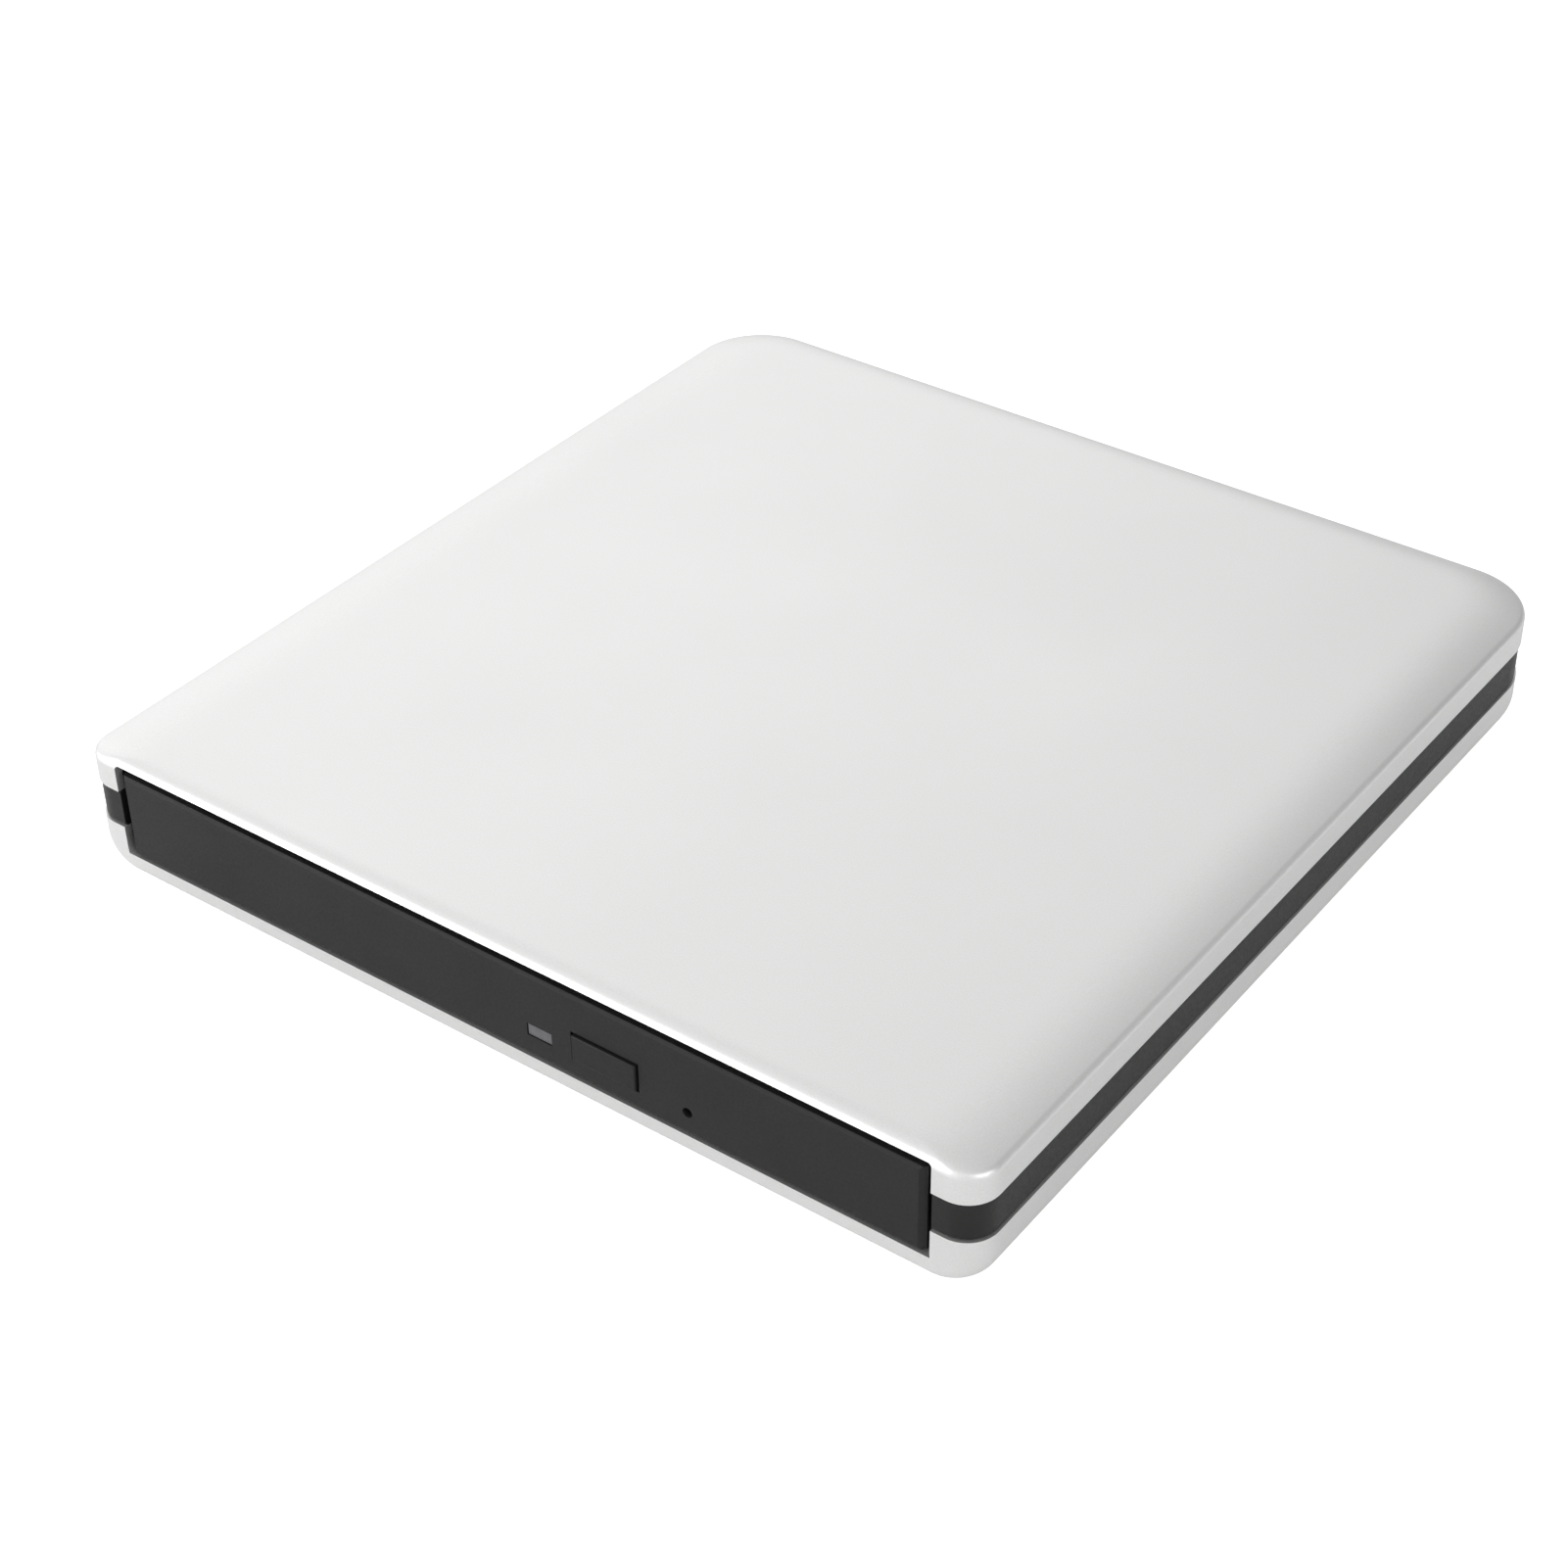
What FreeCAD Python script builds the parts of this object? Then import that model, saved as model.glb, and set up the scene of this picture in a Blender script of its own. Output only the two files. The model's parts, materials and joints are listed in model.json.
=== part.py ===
import FreeCAD, Part
import math
import os

# External blu-ray drive. Millimetres, +Z up, +X to the right seen from the front, +Y to the rear.
# The origin is the middle of the footprint, on the surface that the feet stand on.
# The tray slides out towards -Y. The bezel's face is flush with the front of the case.

# Disc and the slim drive round it
DISC_R = 60.0             # a 120 mm disc
DISC_GAP = 0.6            # recess wall to the disc's edge
SIDE_STOCK = 4.0          # disc's edge to the outside of the drive, each side
BEZEL_T = 3.4             # bezel, front to back
FRONT_STOCK = 1.5         # tray wall between the bezel and the recess
REAR_STOCK = 2.3          # disc's edge to the outside of the drive, at the rear
DRIVE_H = 12.7            # slim drive height
SHEET = 0.5               # steel sheet of the chassis
CHASSIS_SETBACK = 0.4     # chassis front edge behind the bezel

# Case
SIDE_MARGIN = 7.25        # drive's side to the outside of the case
REAR_BAY = 19.2           # drive's rear to the outside of the case
FOOT_STAND = 1.0          # how far the feet stand out under the bottom shell
SHELL_WALL = 1.2
CRADLE_H = 2.6            # floor of the case to the underside of the drive
ROOF_ROOM = 1.3           # top of the drive to the roof of the case
FRONT_CORNER_R = 4.5
REAR_CORNER_R = 11.0
OPENING_SIDE_GAP = 0.83   # bezel's side to the opening
OPENING_DROP = 0.5        # opening's lower edge under the drive
OPENING_CORNER_R = 0.6    # rounding of the opening's upper corners
BAND_RISE = 7.7           # lower edge of the black band above the base of the shells
BAND_H = 5.85
BAND_RECESS = 0.25        # band behind the faces of the shells
BAND_GROOVE = 0.3         # shadow groove along each edge of the band, tall and deep
TOP_SIDE_ROLL = 12.0      # width of the top's gentle roll down to each side
TOP_REAR_ROLL = 7.0
TOP_FRONT_ROLL = 2.4
TOP_DROP = 1.1            # how far the top rolls down
TOP_EDGE_R = 0.8
BASE_SIDE_ROLL = 5.0      # width of the base's turn-up to each side
BASE_REAR_ROLL = 5.0
BASE_FRONT_ROLL = 1.6
BASE_RISE = 0.5
BASE_EDGE_H = 4.2         # height of the base's rounded edge
BASE_EDGE_REACH = 4.2     # how far the rounded edge reaches in, at the sides and rear
BASE_FRONT_REACH = 1.2
FOOT_R = 5.0
FOOT_SINK = 0.4           # foot's recess in the bottom shell
FOOT_INSET = 13.0         # foot's centre in from each side of the case

# Middle frame
FRAME_FIT = 0.15          # frame's skirt to the shells
FRAME_WALL = 1.6
LIP_HIGH = 2.2            # frame's skirt above the band, inside the top shell
DRIVE_FIT = 0.2           # drive's side to the cradle
LEDGE_W = 6.0             # how far the cradle's ledges reach under the drive
DECK_T = 1.0              # frame's deck behind the drive
DECK_GAP = 1.4            # drive's rear to the deck

# Fasteners
CASE_SCREW_R = 1.0
CASE_SCREW_L = 7.0
CASE_HEAD_R = 1.8
CASE_HEAD_H = 0.9
CASE_SCREW_SINK = 0.3     # heads above the base
CASE_SCREW_X = 54.0       # rear screws each side of the middle
CASE_SCREW_INSET = 7.5    # rear screws in from the rear of the case
CASE_PAD_HALF = 2.2       # half the width of the frame's pads round the screws
CASE_PAD_RISE = 1.6       # underside of the pads above the floor of the case
FRONT_SCREW_INSET = 4.6   # front screws in from each side of the case
FRONT_SCREW_DEPTH = 12.0  # front screws behind the bezel's face
SMALL_SCREW_R = 0.8
SMALL_SCREW_L = 3.0
SMALL_HEAD_R = 1.5
SMALL_HEAD_H = 0.5
HOLE_FIT = 0.05           # screw or pin to its hole, radial
RUN_FIT = 0.05            # running fit of shafts and rods, radial

# Bezel face, places measured from the drive's middle and from the bezel's lower edge
BEZEL_EXTRA = 0.1         # bezel above and below the drive, each
BEZEL_PLATE = 1.6
BEZEL_RIM = 1.2
BEZEL_EDGE = 0.4          # bevels along the top and bottom of the face
BEZEL_END = 0.8           # bevels at the two ends of the face
BEZEL_LUG = 3.0           # width of the lugs that go into the tray's front wall
BEZEL_LUG_INSET = 14.0    # lugs in from the bezel's sides
BUTTON_X = 17.7
BUTTON_RISE = 4.95
BUTTON_W = 9.8
BUTTON_H = 3.9
BUTTON_PROUD = 0.4
BUTTON_GAP = 0.3
BUTTON_TRAVEL = 0.6
BUTTON_FLANGE = 0.8       # flange round the button, behind the plate
STEM_R = 0.9
WINDOW_X = 7.4
WINDOW_RISE = 4.1
WINDOW_W = 3.8
WINDOW_H = 1.8
WINDOW_SINK = 0.15
PIN_HOLE_X = 30.2
PIN_HOLE_RISE = 3.4
PIN_HOLE_R = 0.72

# Heights in the drive
FLEX_ROOM = 0.7           # chassis floor to the tray's bottom plate
PLATE_T = 0.3             # tray's bottom plate
BOARD_GAP = 0.4           # bottom plate to the main board
BOARD_T = 0.8
UNDER_ROOM = 3.5          # main board to the underside of the tray's floor
TRAY_FLOOR_T = 1.0
DISC_LIFT = 0.8           # recess floor to the underside of a clamped disc
RIM_H = 2.2               # recess floor to the top of the tray's rim

# Tray, rails and guides
TRAY_TRAVEL = 127.0
TRAY_SIDE_GAP = 0.6       # tray's rim to the chassis wall
TRAY_REAR_GAP = 2.7       # tray's rear edge to the inside of the chassis
SLIDE_GAP = 0.12          # flat sliding faces
RAIL_W = 2.8
RAIL_H = 1.8
RAIL_RISE = 3.2           # underside of the rails above the underside of the drive
RAIL_LIP = 0.6            # thickness of the lips and webs round the rails
LIP_REACH = 0.45          # share of the rail's width held by the lips on each side
RAIL_FRONT = 1.8          # rail's front end behind the bezel
RAIL_REAR_GAP = 5.5       # rail's rear end to the inside of the chassis

# Traverse, in its own directions: u from the spindle along the sled's path, v across it
TRAVERSE_TURN = 225.0
INNER_TRACK_R = 23.5
OUTER_MARGIN = 2.0        # outermost track in from the disc's edge
ROD_R = 1.0
ROD_V = 15.0              # guide rods each side of the path
ROD_START = 8.0
LEAD_V = 20.0             # lead screw beside the path
LEAD_R = 1.0
FRAME_LOW_RISE = 3.0      # underside of the traverse frame above the underside of the drive
TRAVERSE_H = 2.4
MEMBER_W = 1.8            # width of the frame's side members
CORNER_WALL = 1.6         # frame's wall at its two cropped corners
REAR_MEMBER_V = -18.2     # inner faces of the two side members
FRONT_MEMBER_V = 22.3
SPINDLE_END_U = -18.0     # frame's end behind the spindle
PICKUP_HALF_V = 13.0
PICKUP_IN = 8.0           # pickup's reach from the lens towards the spindle
PICKUP_OUT = 7.0
PICKUP_LOW = 1.0          # pickup's underside below the traverse frame's
WELL_HALF_U = 5.0         # well of the lens actuator
WELL_HALF_V = 8.2
WELL_FLOOR = 0.7
YOKE_T = 0.4
CHEEK_T = 0.6
ACTUATOR_MAGNET_T = 1.6
BEARING_W = 3.8
LENS_SLOT_HALF_V = 9.0
LENSES = ((-2.3, 1.5), (2.3, 1.9))    # place across the path and radius of each lens
LENS_T = 0.9              # lens, from its seat to its crown
DIODE_V = (-10.0, 10.0)
DIODE_R = 1.3
COVER_T = 0.4
COVER_GAP = 0.4
DAMPER_R = 2.6
DAMPER_FLANGE = 0.4
DAMPER_PLACES = ((-16.0, -14.0), (-14.5, 20.0), (40.0, -23.4))

# Spindle
ROTOR_R = 12.5
ROTOR_SKIN = 0.7
MAGNET_T = 0.9
TABLE_R = 14.5
HUB_R = 7.45              # goes into the disc's 15 mm hole
HUB_H = 1.6               # hub's straight wall above a clamped disc's underside
SHAFT_R = 1.0
BEARING_R = 2.5
STATOR_ARMS = 9

# Latch, from the drive's right side and the bezel's face
LATCH_INSET = 13.0
LATCH_DEPTH = 24.0
LATCH_TURN = 15.0         # degrees between let go and locked
LEVER_T = 0.9
LEVER_RISE = 2.85         # underside of the lever above the underside of the drive
LEVER_W = 2.6
POST_INSET = 8.0
POST_DEPTH = 9.0
POST_R = 1.0
LANE_GAP = 0.6            # each side of the post's path under the tray
PLUNGER_INSET = 19.5
PLUNGER_R = 1.0
COIL_W = 10.0
COIL_DEEP = 10.0
COIL_H = 2.7

# Ejector
EJECTOR_INSET = 17.0
EJECTOR_TRAVEL = 8.0
EJECTOR_R = 0.9
COLLAR_R = 1.45
EJECTOR_RISE = 3.9        # rod's centre above the underside of the drive
EJECTOR_WALL = 1.0
SPRING_TURNS = 8
SPRING_WIRE_R = 0.15
SPRING_R = 1.2

# Bracket that ties the drive's rear to the middle frame
BRACKET_W = 17.0
BRACKET_H = 10.0
BRACKET_FOOT = 9.0        # foot, front to back
BRACKET_T = 0.8
BRACKET_GAP = 1.5         # bracket's side to the cradle's ledge
BRACKET_SCREW_X = 5.0     # screws each side of the bracket's middle
BRACKET_SCREW_Y = 6.0     # foot screws behind the drive
BRACKET_SCREW_RISE = 7.0  # wall screws above the underside of the drive

# Connectors and boards
SATA_X = 20.0
SATA_W = 31.0
SATA_DEEP = 8.0
SATA_H = 3.4
SATA_WALL = 0.7
USB_X = 38.0
USB_W = 8.94
USB_H = 3.26
USB_DEEP = 7.4
USB_SHELL = 0.3
USB_SINK = 0.5            # socket's mouth behind the band's face
BRIDGE_T = 1.2
CHIPS_Y = 28.0            # main board's chips behind the spindle
CHIPS_CLEAR = 7.0         # main board's large chips to the middle of the ejector
FLEX_X = 16.0
FLEX_W = 20.0
FLEX_T = 0.15

# Worked-out sizes of the drive and the case
DRIVE_W = 2 * (DISC_R + SIDE_STOCK)
DISC_SETBACK = BEZEL_T + FRONT_STOCK + DISC_GAP + DISC_R
DRIVE_REAR = DISC_SETBACK + DISC_R + REAR_STOCK
WIDTH = DRIVE_W + 2 * SIDE_MARGIN
DEPTH = DRIVE_REAR + REAR_BAY
FRONT = -DEPTH / 2
REAR = DEPTH / 2
SIDE = WIDTH / 2
DISC_Y = FRONT + DISC_SETBACK
SKIRT_IN = SHELL_WALL + FRAME_FIT
FRAME_IN = SKIRT_IN + FRAME_WALL

# Worked-out heights of the case
Z_BASE = FOOT_STAND
Z_FLOOR = Z_BASE + SHELL_WALL
Z_DRIVE = Z_FLOOR + CRADLE_H
Z_DRIVE_TOP = Z_DRIVE + DRIVE_H
Z_ROOF = Z_DRIVE_TOP + ROOF_ROOM
Z_TOP = Z_ROOF + SHELL_WALL
Z_BAND_LOW = Z_BASE + BAND_RISE
Z_BAND_HIGH = Z_BAND_LOW + BAND_H
Z_OPENING = Z_DRIVE - OPENING_DROP
Z_BEZEL = Z_DRIVE - BEZEL_EXTRA
Z_BEZEL_TOP = Z_DRIVE_TOP + BEZEL_EXTRA
Z_SKIRT = Z_FLOOR + BASE_RISE + BASE_EDGE_H + 0.1
Z_USB = (Z_BAND_LOW + Z_BAND_HIGH) / 2
Z_BRIDGE_TOP = Z_USB - USB_H / 2
Z_BRIDGE = Z_BRIDGE_TOP - BRIDGE_T

# Worked-out heights in the drive
Z_CHASSIS_FLOOR = Z_DRIVE + SHEET
Z_LID = Z_DRIVE_TOP - SHEET
Z_PLATE = Z_CHASSIS_FLOOR + FLEX_ROOM
Z_PLATE_TOP = Z_PLATE + PLATE_T
Z_BOARD = Z_PLATE_TOP + BOARD_GAP
Z_BOARD_TOP = Z_BOARD + BOARD_T
Z_TRAY_FLOOR = Z_BOARD_TOP + UNDER_ROOM
Z_RECESS = Z_TRAY_FLOOR + TRAY_FLOOR_T
Z_DISC = Z_RECESS + DISC_LIFT
Z_RIM = Z_RECESS + RIM_H
Z_RAIL = Z_DRIVE + RAIL_RISE
Z_RAIL_TOP = Z_RAIL + RAIL_H
Z_LEVER = Z_DRIVE + LEVER_RISE
Z_LEVER_TOP = Z_LEVER + LEVER_T
Z_PLUNGER = Z_LEVER_TOP + 0.15 + PLUNGER_R
Z_EJECTOR = Z_DRIVE + EJECTOR_RISE
Z_BUTTON = Z_BEZEL + BUTTON_RISE
Z_WINDOW = Z_BEZEL + WINDOW_RISE
Z_PIN = Z_BEZEL + PIN_HOLE_RISE
Z_REAR_BOARD = Z_CHASSIS_FLOOR + 0.3
Z_SATA = Z_REAR_BOARD + BOARD_T

# Worked-out heights of the traverse and the spindle
Z_FRAME = Z_DRIVE + FRAME_LOW_RISE
Z_FRAME_TOP = Z_FRAME + TRAVERSE_H
Z_ROD = (Z_FRAME + Z_FRAME_TOP) / 2
Z_PICKUP = Z_FRAME - PICKUP_LOW
Z_PICKUP_TOP = Z_FRAME_TOP + 0.5
Z_COVER = Z_TRAY_FLOOR + 0.25
Z_COVER_TOP = Z_COVER + COVER_T
Z_MOTOR = Z_PLATE_TOP + 0.2
Z_MOTOR_TOP = Z_MOTOR + 0.5
Z_TABLE_TOP = Z_DISC - 0.6

# Worked-out places across and along the drive
DRIVE_SIDE = DRIVE_W / 2
CHASSIS_IN = DRIVE_SIDE - SHEET
CHASSIS_FRONT = FRONT + BEZEL_T + CHASSIS_SETBACK
CHASSIS_REAR = FRONT + DRIVE_REAR
CHASSIS_BACK = CHASSIS_REAR - SHEET
TRAY_SIDE = CHASSIS_IN - TRAY_SIDE_GAP
TRAY_FRONT = FRONT + BEZEL_T
TRAY_WALL = TRAY_FRONT + FRONT_STOCK
TRAY_REAR = CHASSIS_BACK - TRAY_REAR_GAP
RECESS_R = DISC_R + DISC_GAP
GUIDE_IN = CHASSIS_IN - RAIL_LIP
RAIL_OUT = GUIDE_IN - SLIDE_GAP
RAIL_IN = RAIL_OUT - RAIL_W
CHANNEL_OUT = RAIL_IN - SLIDE_GAP
CHANNEL_IN = CHANNEL_OUT - RAIL_LIP
RAIL_Y0 = TRAY_FRONT + RAIL_FRONT
RAIL_Y1 = CHASSIS_BACK - RAIL_REAR_GAP
LATCH_X = DRIVE_SIDE - LATCH_INSET
POST_X = DRIVE_SIDE - POST_INSET
PLUNGER_X = DRIVE_SIDE - PLUNGER_INSET
EJECTOR_X = DRIVE_SIDE - EJECTOR_INSET
LANE_IN = POST_X - POST_R - LANE_GAP
OUTER_TRACK_R = DISC_R - OUTER_MARGIN
PICKUP_END = OUTER_TRACK_R + PICKUP_OUT
FRAME_END = PICKUP_END + 2.6
TAB_U = OUTER_TRACK_R + 2.3
LEVER_Y = FRONT + LATCH_DEPTH
POST_Y = FRONT + POST_DEPTH
BOARD_NOTCH_Y = LEVER_Y + 16.0
BOARD_REAR = CHASSIS_BACK - 18.3
REAR_BOARD_Y = CHASSIS_BACK - 10.3
DECK_Y = CHASSIS_REAR + DECK_GAP
PORT_Y = REAR - BAND_RECESS - USB_SINK


def vec(x, y, z):
    return FreeCAD.Vector(x, y, z)


def box(x0, x1, y0, y1, z0, z1):
    """Block between two corners."""
    return Part.makeBox(x1 - x0, y1 - y0, z1 - z0, vec(x0, y0, z0))


def post(x, y, r, z0, z1):
    """Upright cylinder."""
    return Part.makeCylinder(r, z1 - z0, vec(x, y, z0))


def bar_y(x, z, r, y0, y1):
    """Cylinder lying along Y."""
    return Part.makeCylinder(r, y1 - y0, vec(x, y0, z), vec(0, 1, 0))


def prism(points, z0, z1):
    """Upright prism over a polygon."""
    corners = [vec(x, y, z0) for x, y in points]
    return Part.Face(Part.makePolygon(corners + corners[:1])).extrude(vec(0, 0, z1 - z0))


def tube(x, y, r_out, r_in, z0, z1):
    """Upright tube."""
    return post(x, y, r_out, z0, z1).cut(post(x, y, r_in, z0, z1))


def join(first, *others):
    return first.fuse(list(others)).removeSplitter()


def cut(body, *tools):
    return body.cut(list(tools))


def both_sides(shape):
    """A shape and its mirror image on the other side of the drive."""
    return [shape, shape.mirror(vec(0, 0, 0), vec(1, 0, 0))]


def in_traverse(shape):
    """Carries a shape from the traverse's own directions to its place under the disc."""
    moved = shape.copy()
    moved.rotate(vec(0, 0, 0), vec(0, 0, 1), TRAVERSE_TURN)
    moved.translate(vec(0, DISC_Y, 0))
    return moved


def small_screw(x, y, z_under_head, up=True):
    """Pan-head screw; its head is above z_under_head, or below it when the screw points up."""
    if up:
        head = post(x, y, SMALL_HEAD_R, z_under_head - SMALL_HEAD_H, z_under_head)
        return join(head, post(x, y, SMALL_SCREW_R, z_under_head, z_under_head + SMALL_SCREW_L))
    head = post(x, y, SMALL_HEAD_R, z_under_head, z_under_head + SMALL_HEAD_H)
    return join(head, post(x, y, SMALL_SCREW_R, z_under_head - SMALL_SCREW_L, z_under_head))


# Case

def outline(side, front, rear, z):
    """Plan outline of the case, drawn in from its sides, front and rear."""
    x, y0, y1 = SIDE - side, FRONT + front, REAR - rear
    rf = max(FRONT_CORNER_R - min(side, front), 0.5)
    rr = max(REAR_CORNER_R - min(side, rear), 0.5)
    corners = [(x - rf, y0 + rf, rf, -90), (x - rr, y1 - rr, rr, 0),
               (rr - x, y1 - rr, rr, 90), (rf - x, y0 + rf, rf, 180)]
    arcs = []
    for cx, cy, r, first in corners:
        angles = [math.radians(first + step) for step in (0, 45, 90)]
        arcs.append([vec(cx + r * math.cos(a), cy + r * math.sin(a), z) for a in angles])
    edges = []
    for n, (start, middle, end) in enumerate(arcs):
        edges.append(Part.Arc(start, middle, end).toShape())
        edges.append(Part.LineSegment(end, arcs[(n + 1) % 4][0]).toShape())
    return Part.Wire(edges)


def case_block(inset, z0, z1):
    """Block of the case's plan outline."""
    return Part.Face(outline(inset, inset, inset, z0)).extrude(vec(0, 0, z1 - z0))


def roll_fall(u, roll, fall, edge_h):
    """How far a rolled surface has fallen, at u in from its edge.

    A roll is its whole width and the reach of the rounded edge at its outside."""
    width, reach = roll
    gentle = fall * max(0.0, 1 - u / width) ** 3
    if u >= reach:
        return gentle
    return gentle + edge_h * (1 - math.sqrt(1 - (1 - u / reach) ** 2))


def roll_place(fallen, roll, fall, edge_h):
    """How far in from its edge a rolled surface has fallen by the amount given."""
    low, high = 0.0, roll[0]
    for _ in range(40):
        middle = (low + high) / 2
        if roll_fall(middle, roll, fall, edge_h) > fallen:
            low = middle
        else:
            high = middle
    return high


def rolled_block(inset, z_far, z_flat, rolls, fall, edge_h):
    """Block with one flat face at z_flat, which rolls over to the sides, rear and front.

    rolls gives the roll to the sides, to the rear and to the front."""
    side, rear, front = rolls
    width, reach = side
    turn = 1 if z_far > z_flat else -1
    steps = [reach * share for share in (0, 0.03, 0.12, 0.3, 0.6, 1.0)]
    steps += [reach + (width - reach) * share for share in (0.2, 0.4, 0.6, 0.8)]
    sections = [outline(inset, inset, inset, z_far)]
    for u in steps:
        fallen = roll_fall(u, side, fall, edge_h)
        rear_u = roll_place(fallen, rear, fall, edge_h)
        front_u = roll_place(fallen, front, fall, edge_h)
        z = z_flat + turn * fallen
        sections.append(outline(inset + u, inset + front_u, inset + rear_u, z))
    sections.append(outline(inset + width, inset + front[0], inset + rear[0], z_flat))
    return Part.makeLoft(sections, True, True)


def case_opening():
    """The mouth at the front that the drive's bezel fills."""
    half = DRIVE_SIDE + OPENING_SIDE_GAP
    mouth = box(-half, half, FRONT - 1, CHASSIS_FRONT, Z_OPENING, Z_ROOF)
    upper = [e for e in mouth.Edges if e.BoundBox.ZMin > Z_BEZEL_TOP and e.BoundBox.XLength < 1
             and e.BoundBox.YLength > 1]
    return mouth.makeFillet(OPENING_CORNER_R, upper)


def case_screw_places():
    """Where the case screws stand, front pair and rear pair."""
    front_x = SIDE - FRONT_SCREW_INSET
    places = []
    for side in (-1, 1):
        places.append((side * front_x, FRONT + FRONT_SCREW_DEPTH))
        places.append((side * CASE_SCREW_X, REAR - CASE_SCREW_INSET))
    return places


def foot_places():
    x, y = SIDE - FOOT_INSET, REAR - FOOT_INSET
    return [(-x, -y), (x, -y), (-x, y), (x, y)]


def case_screw(x, y, spare):
    """Countersunk screw from below, with spare added all round for its hole."""
    r = CASE_SCREW_R + spare
    z0 = Z_BASE + CASE_SCREW_SINK
    cone = Part.makeCone(CASE_HEAD_R + spare, r, CASE_HEAD_H, vec(x, y, z0))
    return join(cone, post(x, y, r, z0 + CASE_HEAD_H, z0 + CASE_SCREW_L))


def top_cover():
    rolls = [(width, TOP_EDGE_R) for width in (TOP_SIDE_ROLL, TOP_REAR_ROLL, TOP_FRONT_ROLL)]
    outer = rolled_block(0, Z_BAND_HIGH, Z_TOP, rolls, TOP_DROP, TOP_EDGE_R)
    inner = rolled_block(SHELL_WALL, Z_BAND_HIGH - 1, Z_ROOF, rolls, TOP_DROP, TOP_EDGE_R)
    return [cut(outer, inner, case_opening())]


def bottom_cover():
    rolls = [(BASE_SIDE_ROLL, BASE_EDGE_REACH), (BASE_REAR_ROLL, BASE_EDGE_REACH),
             (BASE_FRONT_ROLL, BASE_FRONT_REACH)]
    outer = rolled_block(0, Z_BAND_LOW, Z_BASE, rolls, BASE_RISE, BASE_EDGE_H)
    inner = rolled_block(SHELL_WALL, Z_BAND_LOW + 1, Z_FLOOR, rolls, BASE_RISE, BASE_EDGE_H)
    sinks = [post(x, y, FOOT_R + HOLE_FIT, Z_BASE - 1, Z_BASE + FOOT_SINK) for x, y in foot_places()]
    holes = []
    for x, y in case_screw_places():
        holes.append(case_screw(x, y, HOLE_FIT))
        holes.append(post(x, y, CASE_HEAD_R + HOLE_FIT, Z_BASE - 1, Z_BASE + CASE_SCREW_SINK))
    return [cut(outer, inner, case_opening(), *sinks, *holes)]


def skirt_opening():
    """The drive's own room in the middle frame, open to the front."""
    half = DRIVE_SIDE + DRIVE_FIT
    drive = box(-half, half, FRONT - 1, DECK_Y, Z_DRIVE, Z_ROOF)
    return join(case_opening(), drive)


def frame_cradle():
    """Ledges under the drive's sides, and the deck behind it, with their risers to the skirt."""
    flat_x = SIDE - SHELL_WALL - BASE_SIDE_ROLL
    flat_y = REAR - SHELL_WALL - BASE_REAR_ROLL
    side_x = SIDE - FRAME_IN + 0.5
    back_y = REAR - FRAME_IN + 0.5
    y0, y1 = CHASSIS_FRONT, REAR - REAR_CORNER_R
    ledge = box(DRIVE_SIDE - LEDGE_W, flat_x, y0, y1, Z_FLOOR, Z_SKIRT + 1)
    riser = box(flat_x - 1, side_x, y0, y1, Z_SKIRT, Z_BAND_LOW)
    deck_x = SIDE - REAR_CORNER_R
    deck = box(-deck_x, deck_x, DECK_Y, flat_y, Z_FLOOR, Z_FLOOR + DECK_T)
    rear_x = side_x - REAR_CORNER_R
    step = box(-rear_x, rear_x, flat_y - 1.2, back_y, Z_SKIRT, Z_BAND_LOW)
    step_foot = box(-rear_x, rear_x, flat_y - 1.2, flat_y, Z_FLOOR, Z_BAND_LOW)
    return both_sides(ledge) + both_sides(riser) + [deck, step, step_foot]


def bridge_post_places():
    """Screw posts of the bridge board."""
    y = (DECK_Y + REAR - FRAME_IN) / 2
    return [(SATA_X - SATA_W / 2 - 4, y), (USB_X + USB_W / 2 + 6, y)]


def bracket_place():
    """Middle of the bracket that ties the drive's rear to the frame."""
    return -(DRIVE_SIDE - LEDGE_W - BRACKET_GAP - BRACKET_W / 2), CHASSIS_REAR


def middle_frame():
    band = case_block(BAND_RECESS, Z_BAND_LOW + BAND_GROOVE, Z_BAND_HIGH - BAND_GROOVE)
    neck = case_block(BAND_RECESS + BAND_GROOVE, Z_BAND_LOW, Z_BAND_HIGH)
    skirt = case_block(SKIRT_IN, Z_SKIRT, Z_BAND_HIGH + LIP_HIGH)
    hollow = case_block(FRAME_IN, Z_BASE, Z_TOP)
    ring = cut(join(band, neck, skirt), hollow)
    body = ring.fuse(frame_cradle())
    bx, by = bracket_place()
    half = BRACKET_W / 2 + 0.5
    pads = [box(bx - half, bx + half, DECK_Y, by + BRACKET_FOOT + 1, Z_FLOOR, Z_DRIVE)]
    pads += [post(x, y, 2.4, Z_FLOOR, Z_BRIDGE) for x, y in bridge_post_places()]
    pad = CASE_PAD_HALF
    for x, y in case_screw_places():
        pads.append(box(x - pad, x + pad, y - pad, y + pad, Z_FLOOR + CASE_PAD_RISE, Z_BAND_LOW))
    body = body.fuse(pads)
    holes = [case_screw(x, y, HOLE_FIT) for x, y in case_screw_places()]
    small = SMALL_SCREW_R + HOLE_FIT
    holes += [post(x, y, small, Z_BRIDGE - SMALL_SCREW_L, Z_BRIDGE) for x, y in bridge_post_places()]
    holes += [post(x, y, small, Z_FLOOR, Z_DRIVE) for x, y in bracket_foot_screws()]
    return [cut(body, skirt_opening(), usb_slot(0.2), *holes).removeSplitter()]


def rubber_feet():
    return [post(x, y, FOOT_R, 0, Z_BASE + FOOT_SINK) for x, y in foot_places()]


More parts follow.
